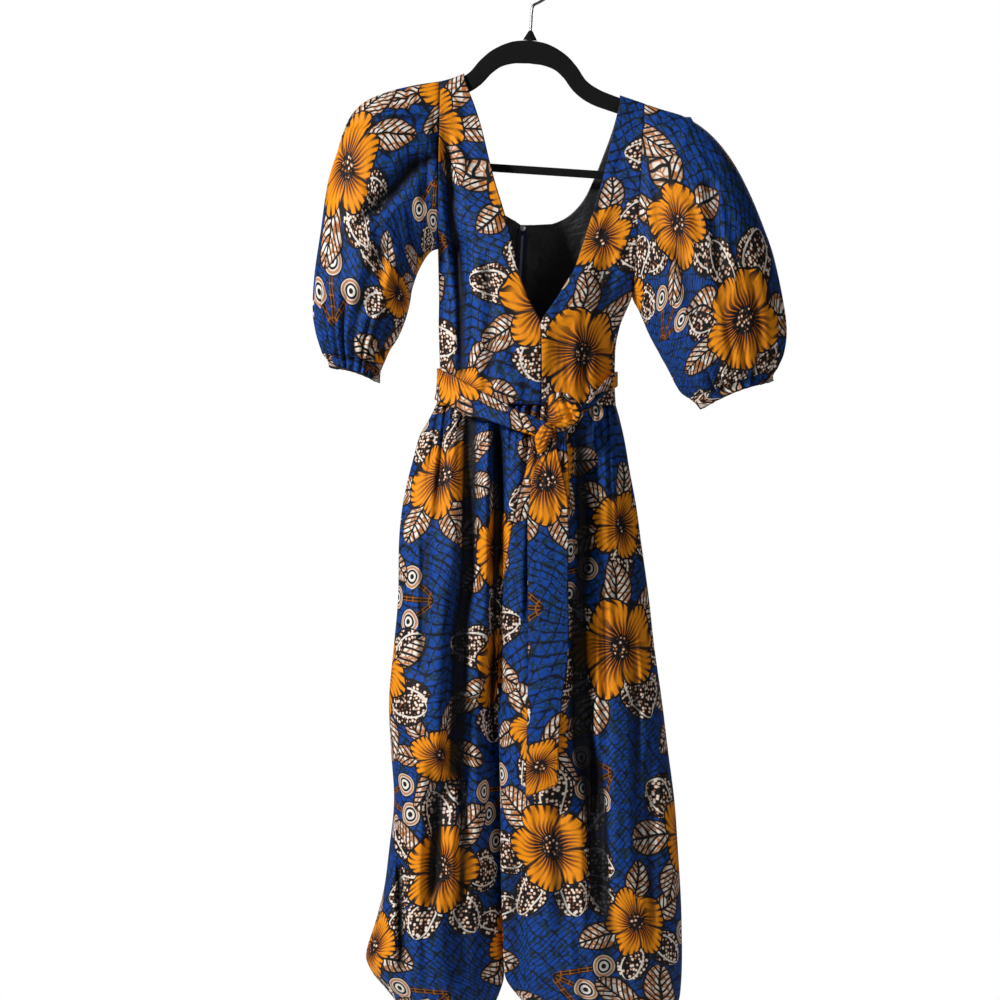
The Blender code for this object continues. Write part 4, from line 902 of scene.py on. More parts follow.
bodice = {
    "columns": 56, "frontRows": 108, "backRows": 96, "ripple": 0.5, "edge": 0.1, "frontBulge": 2.0,
    "backBulge": 1.0, "vPoint": -427.0, "zipHalf": 2.2, "zipFoot": -314.0,
    "lining": {"thickness": 0.4, "gap": 1.5, "zipGap": 4.2, "zipTop": -304, "start": 0.05,
               "cut": (10, 20, 0.0)},
    "cuts": {   # where the middle lies on the print, and how it is turned
        "front_l": (40, 60, 0.06), "front_r": (-150, 35, -0.08), "back_l": (300, 410, 0.0),
        "back_r": (-90, 300, 0.05)},
    "shoulder": (0.0, 0.007, 0.033), "armholeDepth": 33.0,
    "armhole": table(
        "t depth", (0.0, 0.15), (0.007, 4.4), (0.033, 6.6), (0.16, 14), (0.3, 21), (0.46, 28), (0.62, 33),
        (0.77, 33), (0.9, 25), (0.96, 15), (1.0, 0.15)),
    "neckFoot": table("z x", (-338, -25.5), (-366, -18.5), (-396, -7.5), (-427, 7.5)),
    "frontCentre": table(
        "z depth", (-366, 45), (-396, 48), (-427, 50), (-450, 50), (-480, 48), (-505, 46), (-524, 45)),
    "backCentre": table(   # height at the centre, then at the left and right side seams
        "z left right", (-304, -303, -338), (-314, -311, -350), (-318, -320, -362), (-340, -336, -378),
        (-366, -366, -393.6), (-396, -396, -408), (-424, -424, -424), (-450, -450, -450),
        (-480, -480, -480), (-505, -505, -505), (-524, -524, -524)),
    "frontFolds": table(
        foldColumns, (-105, -205, -90, -400, 8, 11), (-88, -310, -83, -522, 9, 11),
        (34, -425, 22, -522, 15, 6), (84, -350, 72, -480, 12, 6), (-58, -350, -50, -522, 7, 5),
        (62, -440, 60, -522, 6, 4)),
    "backFolds": table(foldColumns),
    "frontCreases": table(
        foldColumns, (-96, -190, -60, -262, 5, 1.6), (-104, -250, -74, -322, 6, 2.2),
        (-60, -350, -44, -430, 7, 1.8), (-30, -400, -24, -500, 6, 1.6), (-100, -395, -104, -500, 5, 2.0),
        (-62, -455, -58, -520, 4, 2.2), (-38, -470, -36, -522, 4, 2.0), (110, -260, 78, -330, 6, 2.0),
        (116, -330, 84, -392, 5, 2.2), (60, -400, 52, -515, 6, 2.2), (40, -380, 20, -430, 5, 1.2),
        (78, -440, 82, -520, 5, 2.0), (108, -215, 92, -262, 5, 1.2), (-90, -150, -76, -200, 5, 1.2),
        (-14, -470, -12, -522, 4, 1.6), (38, -470, 40, -522, 4, 1.6)),
    "backCreases": table(
        foldColumns, (-92, -230, -60, -330, 7, 1.8), (-58, -380, -50, -500, 7, 2.2),
        (-96, -380, -92, -510, 6, 2.0), (-34, -420, -30, -515, 5, 1.8), (10, -420, 12, -515, 5, 1.8),
        (40, -360, 46, -500, 7, 2.2), (80, -350, 72, -480, 6, 2.0), (92, -260, 60, -350, 7, 1.8),
        (66, -460, 68, -520, 4, 2.0)),
}
sides = {
    "l": {"sign": -1, "shoulderX": -112.2, "neckX": -83.5, "underarm": (-114.8, -336.0),
          "frontNeck": table(
              "t x z depth", (0.16, -70.5, -166, 13), (0.3, -62, -194, 19), (0.46, -54, -228, 25),
              (0.62, -46, -259, 30), (0.77, -37, -289, 35), (0.9, -29, -318, 39), (1.0, -24.5, -338, 42)),
          "backNeck": table(
              "t x z depth", (0.16, -74, -166, 12), (0.3, -69, -197, 17), (0.46, -62, -230, 22),
              (0.62, -52, -262, 26), (0.77, -38, -289, 30)),
          "seam": table(
              "z x", (-336, -114.8), (-366, -114.2), (-396, -113.6), (-424, -114.0), (-450, -113.4),
              (-480, -112.5), (-505, -113.5), (-523, -117))},
    "r": {"sign": 1, "shoulderX": 132.8, "neckX": 103.6, "underarm": (118.0, -393.6),
          "frontNeck": table(
              "t x z depth", (0.12, 95.5, -193, 12), (0.25, 88.5, -226, 18), (0.38, 82, -253, 23),
              (0.5, 75, -279, 28), (0.62, 66.4, -306, 32), (0.74, 57, -336, 36), (0.86, 47, -364, 41),
              (0.95, 37, -380, 44), (1.0, 29, -394, 46)),
          "backNeck": table(
              "t x z depth", (0.12, 96, -189, 12), (0.25, 84, -222, 18), (0.38, 73.5, -248, 22),
              (0.5, 60, -275, 27), (0.62, 40, -295, 31), (0.7, 16, -304, 33)),
          "seam": table(
              "z x", (-393.6, 118), (-403, 109.6), (-424, 104.6), (-450, 98.8), (-466, 97.2), (-480, 97.4),
              (-505, 97.5), (-523, 98.6))},
}


def armholePoint(side, t):
    # point of the armhole, from the shoulder at 0 to the underarm at 1
    footX, footZ = sides[side]["underarm"]
    topX = sides[side]["shoulderX"]
    return mix(topX, footX, t), mix(armTop(topX) + hanger["rest"], footZ, t)


def archRow(start, end, columns, face, folds, bulge):
    row = []
    for k in range(columns + 1):
        u = k / columns
        x = mix(start[0], end[0], archShare(u))
        z = mix(start[2], end[2], u)
        depth = mix(start[1], end[1], math.sin(u * math.pi / 2)) + bulge * math.sin(math.pi * u)
        depth -= foldAt(x, z, folds, u)
        row.append(Vector((x, face * depth, z)))
    return row


def sideSpot(side, z):
    # side seam's x and half gap at a height, or the armhole's above the underarm
    top, foot = armholePoint(side, 0)[1], sides[side]["underarm"][1]
    if z <= foot:
        return read(sides[side]["seam"], "x", z), seamHalf
    t = (top - z) / (top - foot)
    x = armholePoint(side, t)[0] - sides[side]["sign"] * seamHalf
    return x, max(read(bodice["armhole"], "depth", t), seamHalf)


def centreEnds(side, face):
    # below the neck: height at the side seam, then x, z and depth at the centre
    sign = sides[side]["sign"]
    ends = []
    if face < 0:
        for z, depth in bodice["frontCentre"]["rows"]:
            if z <= bodice["vPoint"]:
                ends.append((z, read(centreFront, "x", z) + sign * seamHalf, z, depth))
            elif side == "l":
                ends.append((z, read(bodice["neckFoot"], "x", z), z, depth))
    else:
        for z, leftZ, rightZ in bodice["backCentre"]["rows"]:
            gap = bodice["zipHalf"] if z >= bodice["zipFoot"] else seamHalf
            ends.append((leftZ if side == "l" else rightZ, read(centreBack, "x", z) + sign * gap, z,
                         read(centreBack, "y", z)))
    return ends


def bodiceRows(side, face, word, columns):
    sizes, armhole = sides[side], bodice["armhole"]
    folds, creases, bulge = (bodice[word + part] for part in ("Folds", "Creases", "Bulge"))
    sign = sizes["sign"]
    rows = []
    for t in bodice["shoulder"]:
        depth = max(read(armhole, "depth", t), seamHalf)
        drop = t * (armholePoint(side, 0)[1] - sizes["underarm"][1])
        start = armholePoint(side, t)[0] - sign * seamHalf
        xs = [mix(start, sizes["neckX"], k / columns) for k in range(columns + 1)]
        rows.append([Vector((x, face * depth, armTop(x) + hanger["rest"] - drop)) for x in xs])
    for t, x, z, depth in sizes[word + "Neck"]["rows"]:
        armX, armZ = armholePoint(side, t)
        start = (armX - sign * seamHalf, max(read(armhole, "depth", t), seamHalf), armZ)
        rows.append(archRow(start, (x, depth, z), columns, face, folds, 0.0))
    for zSide, x, z, depth in centreEnds(side, face):
        sideX, gap = sideSpot(side, zSide)
        rows.append(archRow((sideX, gap, zSide), (x, depth, z), columns, face, folds, bulge))
    rows = smoothRows(rows, bodice[word + "Rows"])
    for row in rows:
        for k, point in enumerate(row):
            edge = ease(k / columns / bodice["edge"]) * ease((1.03 - k / columns) / bodice["edge"])
            point.y -= face * creaseAt(point.x, point.z, creases) * edge
            point.y += bodice["ripple"] * edge * noise.noise(point * 0.035)
    return rows


def coresOf(side, rows):
    # a point inside the bodice at the height of every sixth row
    return [Vector((sides[side]["sign"] * 20, 0, row[0].z - 4)) for row in rows[::6]]


def makeBodice():
    for side in sides:
        for face, word in ((-1, "front"), (1, "back")):
            rows = bodiceRows(side, face, word, bodice["columns"])
            name = "%s_%s" % (word, side)
            clothPiece("bodice_" + name, rows, coresOf(side, rows), seams="ltrb", cut=bodice["cuts"][name],
                       restsOn=["hanger_arms"])
        makeLining(side, rows)


def makeLining(side, rows):
    # black lining inside the back's rows, short of the zip and the shoulder
    look = bodice["lining"]
    sign = sides[side]["sign"]
    inside = []
    for i in range(round(look["start"] * len(rows)), len(rows) - 1):
        line = []
        for j, point in enumerate(rows[i]):
            before, after = rows[i][max(j - 1, 0)], rows[i][min(j + 1, len(rows[i]) - 1)]
            square = (after - before).cross(rows[i + 1][j] - rows[i - 1][j]).normalized()
            if square.y > 0:
                square = -square
            spot = point + square * look["gap"]
            if j == len(rows[i]) - 1 and point.z <= look["zipTop"]:
                spot.x = read(centreBack, "x", point.z) + sign * look["zipGap"]
            spot.y = max(spot.y, seamHalf)
            line.append(spot)
        inside.append(line)
    clothPiece("back_lining_" + side, inside, coresOf(side, inside), seams="r", cut=look["cut"],
               thickness=look["thickness"], finish="lining",
               restsOn=["bodice_back_" + side])


# Each row of a sleeve is a ring between its upper end at a and its lower end at b
sleeveColumns = "ax az bx bz front back round puff"
sleeve = {
    "columns": 180, "rows": 96, "cuffRows": 12, "gathers": 23, "gatherDepth": 5.6, "cuffArch": 5.5,
    "onArm": 190, "ovalPower": 0.9, "backCreases": 0.8, "seeds": {"l": 1.7, "r": 4.1},
    "cuts": {"l": (-130, 20, 0.25), "r": (95, 150, -0.2)},
    "l": table(
        sleeveColumns, (-112.2, -134.0, -114.8, -336.0, 33, 33, 0.0, 0),
        (-142.4, -139.2, -122, -338.4, 38, 36, 0.35, 0), (-176, -147.6, -128, -344.4, 44, 40, 0.65, 0),
        (-206, -162, -134, -354, 49, 44, 0.85, 0), (-224, -184.8, -138.8, -363.6, 53, 48, 1, 0),
        (-234.8, -217.2, -142.4, -373.2, 56, 50, 1, 0), (-246.8, -256.8, -146, -385.2, 58, 52, 1, 0),
        (-255.2, -313.2, -148.5, -400.8, 58, 52, 1, 0), (-262.4, -367.2, -155, -421.2, 55, 50, 1, 0.3),
        (-263.6, -411.6, -165.6, -442.8, 50, 46, 1, 0.7), (-259, -438, -176, -457, 43, 40, 1, 1.0),
        (-251.5, -462, -183.5, -474, 35, 32, 1, 1.0)),
    "r": table(
        sleeveColumns, (132.8, -159.0, 118, -393.6, 33, 33, 0.0, 0),
        (152.8, -168, 120.4, -399.6, 39, 37, 0.35, 0), (181.6, -180, 125.2, -408, 46, 42, 0.65, 0),
        (211.6, -198, 131.2, -421.2, 52, 46, 0.85, 0), (237.6, -229.6, 137.2, -435.6, 57, 50, 1, 0),
        (258, -267.4, 143.2, -447.6, 60, 53, 1, 0), (275, -308.4, 149.2, -458.4, 62, 54, 1, 0),
        (288, -346.2, 156.4, -471.6, 61, 54, 1, 0), (297.6, -393.6, 163.6, -483.6, 57, 51, 1, 0.3),
        (301.6, -433.2, 172, -498, 51, 47, 1, 0.7), (297.5, -462, 180, -508, 43, 40, 1, 1.0),
        (289.6, -480.5, 188.5, -514, 35, 32, 1, 1.0)),
    "cuffL": table(
        sleeveColumns, (-251.5, -462, -183.5, -474, 35, 32, 1, 0.9),
        (-246, -471, -185.5, -485, 33, 30, 1, 0.5), (-243.2, -478.8, -187.5, -496, 34, 31, 1, 1.0)),
    "cuffR": table(
        sleeveColumns, (289.6, -480.5, 188.5, -514, 35, 32, 1, 0.9),
        (286, -488.5, 195.5, -521, 33, 30, 1, 0.5), (284.8, -495.6, 202.5, -527.5, 34, 31, 1, 1.0)),
    "folds": table(
        foldColumns, (-128, -222, -214, -322, 15, 10), (-150, -178, -232, -196, 60, 4),
        (205, -250, 226, -410, 9, 6), (166, -330, 196, -440, 12, 6), (-180, -330, -206, -430, 12, 6)),
    "creases": table(
        foldColumns, (-214, -176.5, -139, -171.5, 3.2, 2.6), (-196, -190, -152, -205, 3, 1.8),
        (-170, -160, -134, -182, 3, 1.6), (-119, -176, -114, -250, 6, 5.0),
        (-124, -205, -131, -290, 6, 4.0), (-222, -230, -176, -300, 6, 2.4),
        (-240, -280, -214, -380, 6, 2.6), (-188, -300, -178, -400, 7, 2.6),
        (-150, -280, -142, -352, 5, 2.0), (-228, -330, -226, -430, 5, 2.4),
        (-160, -350, -182, -440, 5, 2.2), (-250, -330, -246, -440, 4, 1.8),
        (-140, -225, -130, -300, 5, 1.6), (143, -186, 177, -187, 2.6, 2.2), (150, -205, 186, -235, 4, 1.8),
        (196, -215, 236, -275, 5, 2.0), (140, -230, 150, -330, 6, 2.0), (222, -270, 250, -400, 6, 2.4),
        (245, -320, 268, -450, 5, 2.4), (180, -260, 206, -380, 6, 2.2), (262, -330, 288, -440, 4, 2.0),
        (150, -380, 178, -470, 6, 2.2), (218, -380, 236, -480, 5, 2.2), (196, -420, 212, -495, 5, 2.0),
        (150, -300, 160, -380, 5, 1.6)),
}


def sleeveStations(side, cuff):
    # upper end, lower end, depth to the front and back, roundness and gathers of each given ring
    sign = sides[side]["sign"]
    shape = sleeve["cuff" + side.upper()] if cuff else sleeve[side]
    stations = []
    for i, row in enumerate(shape["rows"]):
        sizes = dict(zip(shape["names"], row))
        upper, lower = Vector((sizes["ax"], 0, sizes["az"])), Vector((sizes["bx"], 0, sizes["bz"]))
        if not cuff and i == 0:
            x, z = armholePoint(side, 0)
            upper, lower = Vector((x + sign * seamHalf, 0, z)), lower + Vector((sign * seamHalf, 0, 0))
        elif not cuff and abs(upper.x) < sleeve["onArm"]:
            upper.z = max(upper.z, armTop(upper.x) + hanger["rest"])
        stations.append((upper, lower, Vector((sizes["front"], sizes["back"], 0)),
                         Vector((sizes["round"], sizes["puff"], 0))))
    return stations


def sleeveRing(upper, lower, swellBy, ways, count, seed):
    # from the armhole's own section, where roundness is 0, to a full oval
    roundness, puff = ways.x, ways.y
    centre = (upper + lower) / 2
    ring = []
    for k in range(count + 1):
        angle = math.tau * (k % count) / count
        t = (1 - math.cos(angle)) / 2
        oval = 0.0 if k in (0, count) or 2 * k == count else abs(math.sin(angle))
        section = read(bodice["armhole"], "depth", t) / bodice["armholeDepth"] if oval else 0.0
        swell = mix(section, oval ** sleeve["ovalPower"], roundness)
        point = upper.lerp(lower, t)
        creases = creaseAt(point.x, point.z, sleeve["creases"]) * ease(oval / 0.3)
        if angle < math.pi:
            point.y = -swellBy.x * swell + foldAt(point.x, point.z, sleeve["folds"], oval / 2) + creases
        else:
            point.y = swellBy.y * swell - creases * sleeve["backCreases"]
        gathers = puff * ruffle(angle, sleeve["gathers"], seed) * sleeve["gatherDepth"]
        point += (point - centre).normalized() * gathers
        ring.append(point)
    return ring


def makeSleeve(side, cuff):
    columns, count = sleeve["columns"], sleeve["cuffRows" if cuff else "rows"]
    stations = sleeveStations(side, cuff)
    rise = (stations[0][0] - stations[-1][0]).normalized()
    keys = [0.0]
    for a, b in zip(stations, stations[1:]):
        keys.append(keys[-1] + ((a[0] - b[0]).length + (a[1] - b[1]).length) / 2)
    rows, cores = [], []
    for i in range(count + 1):
        where = keys[-1] * i / count
        upper, lower, swellBy, ways = (between(keys, column, where) for column in zip(*stations))
        if not cuff and 0 < i and abs(upper.x) < sleeve["onArm"]:
            upper.z = max(upper.z, armTop(upper.x) + hanger["rest"])
        ring = sleeveRing(upper, lower, swellBy, ways, columns, sleeve["seeds"][side])
        if cuff:
            arch = rise * (sleeve["cuffArch"] * i / count)
            ring = [point + arch * math.sin(math.tau * k / columns) ** 2 for k, point in enumerate(ring)]
        rows.append(ring)
        cores.append((upper + lower) / 2)
    clothPiece(("sleeve_cuff_" if cuff else "sleeve_") + side, rows, cores[::5], seams="tb", ring=True,
               cut=sleeve["cuts"][side], grain=0.25,
               restsOn=["sleeve_" + side] if cuff else ["hanger_arms"])


def makeSleeves():
    for side in sides:
        makeSleeve(side, False)
        makeSleeve(side, True)


leg = {
    "pucker": 2.6, "puckerRise": 78.0, "lean": 0.28, "leanStart": 10, "leanEnd": 40, "edge": 0.06,
    "ripple": 0.7, "roundness": 0.8, "cuffColumns": 72, "cuffRows": 16, "cuffDrop": 28, "cuffRipple": 1.7,
    "cuffGathers": 66, "cuffSeed": 0.7, "cuffSqueeze": 3.0,
    "cuts": {"front_l": (20, 15, 0.05), "front_r": (-75, 60, -0.04), "back_l": (150, 320, 0.0),
             "back_r": (-40, 210, 0.03), "cuff": (60, 90, 0.0)},
    "l": {"foot": -1273.0, "fullness": 1.5, "seed": 3.0,
          "outer": table(
              "z x", (-523, -117), (-540, -125.5), (-559, -136.4), (-584, -143.6), (-617, -152),
              (-648, -158), (-686, -161.6), (-755, -162.8), (-810, -167.6), (-878, -173.6), (-937, -171.2),
              (-998, -167.6), (-1057, -173.6), (-1103, -179.6), (-1141, -189.2), (-1183, -201.2),
              (-1203, -194), (-1221, -179), (-1235, -167.6), (-1255, -152), (-1273, -143)),
          "inner": table(
              "z x", (-865, -43.2), (-900, -42.6), (-967, -40.6), (-1081, -39.6), (-1150, -37.2),
              (-1195, -36), (-1213, -36.5), (-1235, -44), (-1255, -53), (-1273, -62))},
    "r": {"foot": -1312.0, "fullness": 0.75, "seed": 1.0,
          "outer": table(
              "z x", (-523, 98.6), (-541, 103.6), (-568, 109.6), (-604, 115.6), (-642, 122.8),
              (-686, 128.8), (-755, 138.4), (-810, 144.4), (-878, 154), (-937, 161.2), (-998, 169),
              (-1057, 173.2), (-1117, 176.8), (-1166, 178), (-1192, 178), (-1216, 177), (-1237, 174.4),
              (-1265, 164), (-1290, 149), (-1312, 136)),
          "inner": table(
              "z x", (-865, -42.8), (-900, -41.8), (-967, -39.8), (-1081, -38.8), (-1150, -36.4),
              (-1195, -35), (-1213, -31.5), (-1237, -13), (-1265, 14), (-1290, 37), (-1312, 52))},
    "depth": table(
        "z front back", (-523, 45, 40), (-560, 50, 43), (-601, 55, 47), (-686, 58, 50), (-757, 60, 50),
        (-865, 61, 48), (-967, 62, 47), (-1081, 64, 50), (-1166, 62, 50), (-1203, 56, 46), (-1237, 46, 40),
        (-1273, 36, 33), (-1312, 33, 31)),
    "parted": table(
        "z front back", (-523, 0.0, 0.0), (-560, 0.06, 0.02), (-601, 0.14, 0.05), (-686, 0.24, 0.12),
        (-757, 0.4, 0.28), (-820, 0.7, 0.62), (-865, 1.0, 1.0)),
    "creases": table(
        foldColumns, (-150, -600, -146, -760, 6, 2.4), (-140, -760, -150, -900, 7, 2.2),
        (-110, -560, -116, -700, 6, 2.2), (-60, -720, -70, -860, 6, 2.0),
        (-120, -1000, -100, -1120, 7, 2.4), (-150, -920, -140, -1040, 6, 2.0),
        (-78, -960, -74, -1100, 6, 1.8), (-154, -830, -156, -930, 4, 2.6), (-52, -900, -56, -1010, 5, 1.8),
        (-172, -1110, -186, -1180, 5, 2.0), (-130, -1120, -128, -1230, 6, 2.4),
        (-60, -1120, -70, -1230, 6, 2.4), (14, -600, 6, -700, 6, 2.0), (30, -640, 26, -800, 6, 1.8),
        (88, -620, 98, -800, 6, 2.4), (40, -840, 44, -960, 7, 2.0), (84, -820, 90, -960, 6, 2.2),
        (128, -780, 136, -900, 5, 2.0), (0, -760, -8, -880, 6, 2.0), (120, -1000, 126, -1130, 7, 2.4),
        (64, -1030, 66, -1180, 6, 2.4), (150, -1040, 154, -1180, 6, 2.2), (0, -960, 10, -1100, 7, 2.2),
        (46, -1120, 62, -1260, 6, 2.4), (112, -1160, 110, -1290, 6, 2.4), (150, -1190, 136, -1270, 6, 2.2),
        (-20, -900, -16, -1000, 5, 1.6)),
}
legFront = {
    "columns": 170, "rows": 190, "ruffles": 44, "folds": table(
        foldColumns, (-43, -526, -48, -960, 9, 21), (-74, -518, -82, -800, 14, 23),
        (-86, -700, -98, -1050, 17, 26), (53, -520, 59, -760, 14, 21), (50, -680, 58, -1060, 17, 22),
        (80, -660, 84, -1110, 6, 7), (-160, -1035, -157, -1215, 6, 12), (-128, -640, -132, -880, 8, 7),
        (-84, -940, -88, -1150, 8, 12), (24, -890, 34, -1190, 13, 7), (117, -760, 124, -1120, 7, 7),
        (135, -900, 140, -1200, 9, 8), (-98, -1060, -88, -1235, 14, 8), (97, -540, 108, -735, 7, 6),
        (-118, -930, -126, -1150, 10, 7), (-66, -900, -64, -1130, 9, -6), (82, -1060, 92, -1280, 14, 6),
        (0, -600, -8, -820, 8, 6), (24, -560, 20, -760, 7, 6), (88, -515, 97, -740, 12, -8),
        (-112, -930, -120, -1150, 15, 15), (68, -900, 74, -1150, 14, 18), (-26, -1000, -22, -1270, 13, 14),
        (-62, -520, -60, -700, 6, -5)),
    "gathers": table(
        gatherColumns, (-113, -134, 130, 3.4, 10), (-105, -122, 170, 3.0, 12), (-95, -104, 90, 2.4, 7),
        (-87, -94, 120, 3.0, 10), (-60, -58, 90, 2.6, 8), (-51, -50, 70, 2.2, 6), (-45, -45, 130, 2.8, 8),
        (-26, -30, 120, 3.2, 11), (-16, -22, 90, 2.4, 7), (-5, -14, 140, 3.2, 11), (7, 2, 90, 2.6, 8),
        (18, 14, 150, 3.6, 11), (30, 28, 100, 2.8, 9), (39, 40, 80, 2.4, 7), (68, 74, 110, 3.0, 9),
        (76, 83, 80, 2.4, 8), (86, 94, 150, 3.2, 12), (93, 103, 90, 2.6, 8)),
}
legBack = {
    "columns": 110, "rows": 150, "ruffles": 34, "folds": table(
        foldColumns, (-95, -540, -104, -900, 14, 14), (-130, -620, -138, -1000, 12, 9),
        (30, -540, 42, -880, 14, 14), (80, -580, 96, -1050, 15, 12), (-80, -900, -100, -1200, 16, 11),
        (120, -880, 134, -1230, 14, 9), (30, -940, 70, -1240, 16, 11), (-56, -540, -60, -820, 9, 8),
        (0, -560, -6, -800, 9, 7), (58, -540, 64, -780, 8, 7), (-118, -540, -122, -700, 7, 6)),
    "gathers": table(
        gatherColumns, (-104, -118, 130, 3.0, 9), (-92, -102, 90, 2.4, 7), (-78, -86, 150, 3.2, 10),
        (-66, -72, 80, 2.2, 6), (-54, -60, 110, 2.8, 8), (-42, -48, 140, 3.2, 10), (-30, -36, 80, 2.2, 6),
        (-18, -22, 90, 2.6, 7), (2, -2, 130, 3.0, 9), (14, 12, 90, 2.4, 7), (26, 28, 150, 3.4, 10),
        (38, 42, 80, 2.2, 6), (50, 56, 130, 3.0, 9), (62, 70, 90, 2.4, 7), (74, 84, 140, 3.2, 10),
        (86, 98, 100, 2.8, 8)),
}


def legRow(side, face, z, columns):
    # one curve across a panel: an arch that the two legs share above the crotch, a tube's half below it
    shape, panel, word = (leg[side], legFront, "front") if face < 0 else (leg[side], legBack, "back")
    outer = read(shape["outer"], "x", z)
    depth = read(leg["depth"], word, z)
    centre = centreFront if face < 0 or z < crotch else centreBack
    middle = read(centre, "x", max(z, crotch)) + sides[side]["sign"] * seamHalf
    inner = middle if z >= crotch else read(shape["inner"], "x", z)
    parted = read(leg["parted"], word, z) if z > crotch else 1.0
    lean = leg["lean"] * ease((crotch - z) / leg["leanStart"]) * ease((z - shape["foot"]) / leg["leanEnd"])
    pucker = leg["pucker"] * ease((shape["foot"] + leg["puckerRise"] - z) / leg["puckerRise"])
    row = []
    for k in range(columns + 1):
        u = k / columns
        half = u * math.pi
        archX, archY = mix(outer, middle, archShare(u)), math.sin(u * math.pi / 2)
        tubeX = mix(outer, inner, mix((1 - math.cos(half)) / 2, u, 0.25))
        power = leg["roundness"]
        if face < 0:
            power = mix(power, shape["fullness"], ease(2 * u - 0.8))
        tubeY = math.sin(half) ** power if 0 < u < 1 else 0.0
        x = mix(archX, tubeX, parted)
        y = max(depth * mix(archY, tubeY, parted), seamHalf)
        x += face * y * lean * ease((u - 0.35) / 0.45)
        far = mix(1.0, 1 - u, parted)
        edge = ease(u / leg["edge"]) * ease(far / leg["edge"])
        y -= foldAt(x, z, panel["folds"], u, far)
        y -= edge * (gatherAt(x, z, panel["gathers"]) + creaseAt(x, z, leg["creases"]))
        y += pucker * edge * ruffle(half, panel["ruffles"], shape["seed"])
        y += leg["ripple"] * edge * noise.noise(Vector((x * 0.03, face * 5, z * 0.018)))
        row.append(Vector((x, face * max(y, seamHalf), z)))
    return row


def makeLegs():
    for side in sides:
        foot = leg[side]["foot"]
        for face, word, panel in ((-1, "front", legFront), (1, "back", legBack)):
            rows = [legRow(side, face, mix(waist, foot, k / panel["rows"]), panel["columns"])
                    for k in range(panel["rows"] + 1)]
            cores = [Vector((mix(row[0].x, row[-1].x, 0.5), 0, row[0].z)) for row in rows[::8]]
            name = "%s_%s" % (word, side)
            clothPiece("leg_" + name, rows, cores, seams="ltrb", cut=leg["cuts"][name],
                       restsOn=["bodice_" + name])
        makeLegCuff(side, foot)


def makeLegCuff(side, foot):
    columns, count, drop = leg["cuffColumns"], leg["cuffRows"], leg["cuffDrop"]
    front, back = legRow(side, -1, foot, columns), legRow(side, 1, foot, columns)
    ring = front + back[-2::-1]
    centre = (front[0] + front[-1]) / 2
    rows = []
    for i in range(count + 1):
        share = i / count
        squeeze = leg["cuffSqueeze"] * math.sin(math.pi * share) ** 0.8 + share
        row = []
        for k, point in enumerate(ring):
            away = Vector((point.x - centre.x, point.y, 0)).normalized()
            turn = math.tau * (k % (2 * columns)) / (2 * columns)
            ripple = leg["cuffRipple"] * ruffle(turn, leg["cuffGathers"], leg["cuffSeed"])
            row.append(Vector((point.x, point.y, foot - drop * share)) + away * (ripple - squeeze))
        row[-1] = row[0].copy()
        rows.append(row)
    clothPiece("leg_cuff_" + side, rows, [Vector((centre.x, 0, foot - drop / 2))], seams="tb", ring=True,
               cut=leg["cuts"]["cuff"], grain=0.25, restsOn=["leg_front_" + side])


belt = {
    "thickness": 1.6, "off": 3.6, "clear": 2.0, "depth": {"front": 48.0, "back": 40.0}, "wrinkle": 0.7,
    "liftStart": 0.55,
    "l": {"rows": 28, "columns": 90, "end": 13.5, "lift": 4.3, "cut": (40, 130, 0.0),
          "edges": table(
              "u top foot", (0.0, -479, -516), (0.25, -487, -524), (0.48, -503, -537), (0.66, -516, -544),
              (0.85, -533, -556), (1.0, -544, -566)),
          "creases": table(
              "share rise", (0, -0.4), (0.05, 0.5), (0.14, 1.2), (0.26, 1.0), (0.36, -0.6), (0.4, -0.8),
              (0.44, 1.0), (0.56, 1.5), (0.74, 0.6), (0.86, 1.1), (0.95, 0.6), (1, -0.4))},
    "r": {"rows": 28, "columns": 90, "end": 55.5, "lift": 5.3, "cut": (-60, 225, 0.6),
          "edges": table(
              "u top foot", (0.0, -483, -500), (0.3, -487, -506), (0.55, -498, -514), (0.78, -513, -526),
              (1.0, -527, -537)),
          "creases": table(
              "share rise", (0, -0.4), (0.1, 0.9), (0.3, 1.2), (0.5, -0.6), (0.56, 0.8), (0.8, 1.2),
              (1, -0.4))},
    "back": {"rows": 24, "columns": 120, "end": -8.0, "cut": (15, 120, 0.0),
             "creases": table(
                 "share rise", (0, -0.4), (0.1, 0.7), (0.33, 0.9), (0.5, -0.5), (0.62, 0.7), (0.9, 0.8),
                 (1, -0.4))},
}


def beltPoint(side, word, u, z, end):
    # the band lies clear of the bodice above the waist and of the leg below it
    if z > waist:
        outer, depth = read(sides[side]["seam"], "x", z), belt["depth"][word]
    else:
        outer, depth = read(leg[side]["outer"], "x", z), read(leg["depth"], word, z)
    x = mix(outer + sides[side]["sign"] * belt["off"], end, archShare(u))
    return x, (depth + belt["clear"] + belt["off"]) * math.sin(u * math.pi / 2) ** 0.85


def frontBandPoint(side, u, share, rise):
    # from the side seam at 0 to the knot at 1, where the band lifts to meet it
    sizes, start = belt[side], belt["liftStart"]
    z = mix(read(sizes["edges"], "top", u), read(sizes["edges"], "foot", u), share)
    x, y = beltPoint(side, "front", u, z, sizes["end"])
    y += (rise + belt["wrinkle"] * noise.noise(Vector((u * 9, share * 2.4, 3.0)))) * ease(6 * u)
    return Vector((x, -max(y + sizes["lift"] * ease((u - start) / (1 - start)), seamHalf), z))


